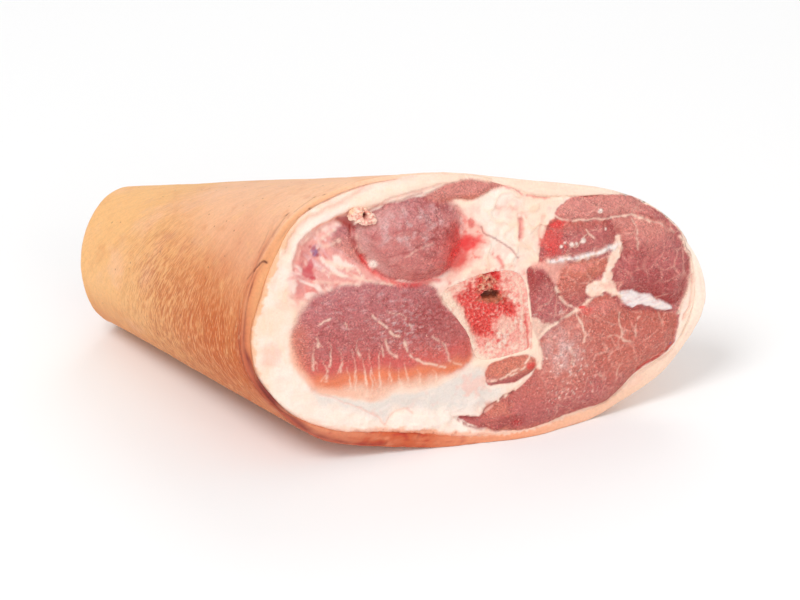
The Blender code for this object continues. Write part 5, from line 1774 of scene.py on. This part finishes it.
def plain_material(name, colour, roughness):
    """One colour all over."""
    return Nodes(name).finish(Base_Color=(*colour, 1.0), Roughness=roughness)


FLOOR_HALF = 4.0
FLOOR_DROP = 0.0002
FLOOR_COLOUR = (0.93, 0.93, 0.93)
FLOOR_ROUGHNESS = 0.9
WORLD_COLOUR = (1.0, 1.0, 1.0, 1.0)
WORLD_STRENGTH = 0.62
# Soft round lamps: name, place, size across and power. They point at the knuckle.
LAMPS = (
    ("key", (-0.15, -1.05, 1.7), 0.8, 15.5),
    ("fill", (1.35, -0.8, 0.8), 1.2, 6.5),
    ("back", (-0.4, 1.2, 1.3), 1.0, 5.0),
)
LAMP_TARGET = Vector((0.0, 0.0, 0.05))
CAMERA_PLACE = Vector((0.4312, -0.6835, 0.5053))
CAMERA_AZIMUTH = math.radians(31.01)
CAMERA_ELEVATION = math.radians(30.0)
CAMERA_LENS = 106.56
CAMERA_SENSOR = 36.0
CAMERA_NEAR, CAMERA_FAR = 0.05, 20.0


def point(thing, place, direction):
    """Puts a lamp or camera at its place, pointing in a direction."""
    thing.location = place
    thing.rotation_mode = "QUATERNION"
    thing.rotation_quaternion = direction.to_track_quat("-Z", "Y")


def make_stage():
    """A pale floor, soft studio light, and the camera at the photograph's angle."""
    floor_mesh = bpy.data.meshes.new("floor")
    corners = [(x * FLOOR_HALF, y * FLOOR_HALF, 0) for x, y in ((-1, -1), (1, -1), (1, 1), (-1, 1))]
    floor_mesh.from_pydata(corners, [], [(0, 1, 2, 3)])
    floor_mesh.materials.append(plain_material("pale_floor", FLOOR_COLOUR, FLOOR_ROUGHNESS))
    floor = add_object("floor", floor_mesh)
    floor.location.z = -FLOOR_DROP

    world = bpy.data.worlds.new("studio")
    world.use_nodes = True
    background = world.node_tree.nodes["Background"].inputs
    background["Color"].default_value = WORLD_COLOUR
    background["Strength"].default_value = WORLD_STRENGTH
    bpy.context.scene.world = world

    for name, place, size, power in LAMPS:
        light = bpy.data.lights.new(name, "AREA")
        light.shape = "DISK"
        light.size = size
        light.energy = power
        point(add_object(name, light), place, LAMP_TARGET - Vector(place))

    camera_data = bpy.data.cameras.new("camera")
    camera_data.lens = CAMERA_LENS
    camera_data.sensor_width = CAMERA_SENSOR
    camera_data.clip_start = CAMERA_NEAR
    camera_data.clip_end = CAMERA_FAR
    camera = add_object("camera", camera_data)
    back = Vector((
        math.sin(CAMERA_AZIMUTH) * math.cos(CAMERA_ELEVATION),
        -math.cos(CAMERA_AZIMUTH) * math.cos(CAMERA_ELEVATION),
        math.sin(CAMERA_ELEVATION),
    ))
    point(camera, CAMERA_PLACE, -back)
    bpy.context.scene.camera = camera
    bpy.context.scene.view_settings.view_transform = "Standard"


def main():
    """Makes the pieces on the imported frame, then the stage."""
    meat = meat_material()
    flesh_pieces = (make_rind(rind_material()), make_cut_face(meat), make_hock_end(meat), make_shred(meat))
    for piece in flesh_pieces:
        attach(piece, "root")
        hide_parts("flesh")
    bone = make_bone(bone_material())
    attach(bone, "root")
    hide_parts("bone")
    make_stage()


main()
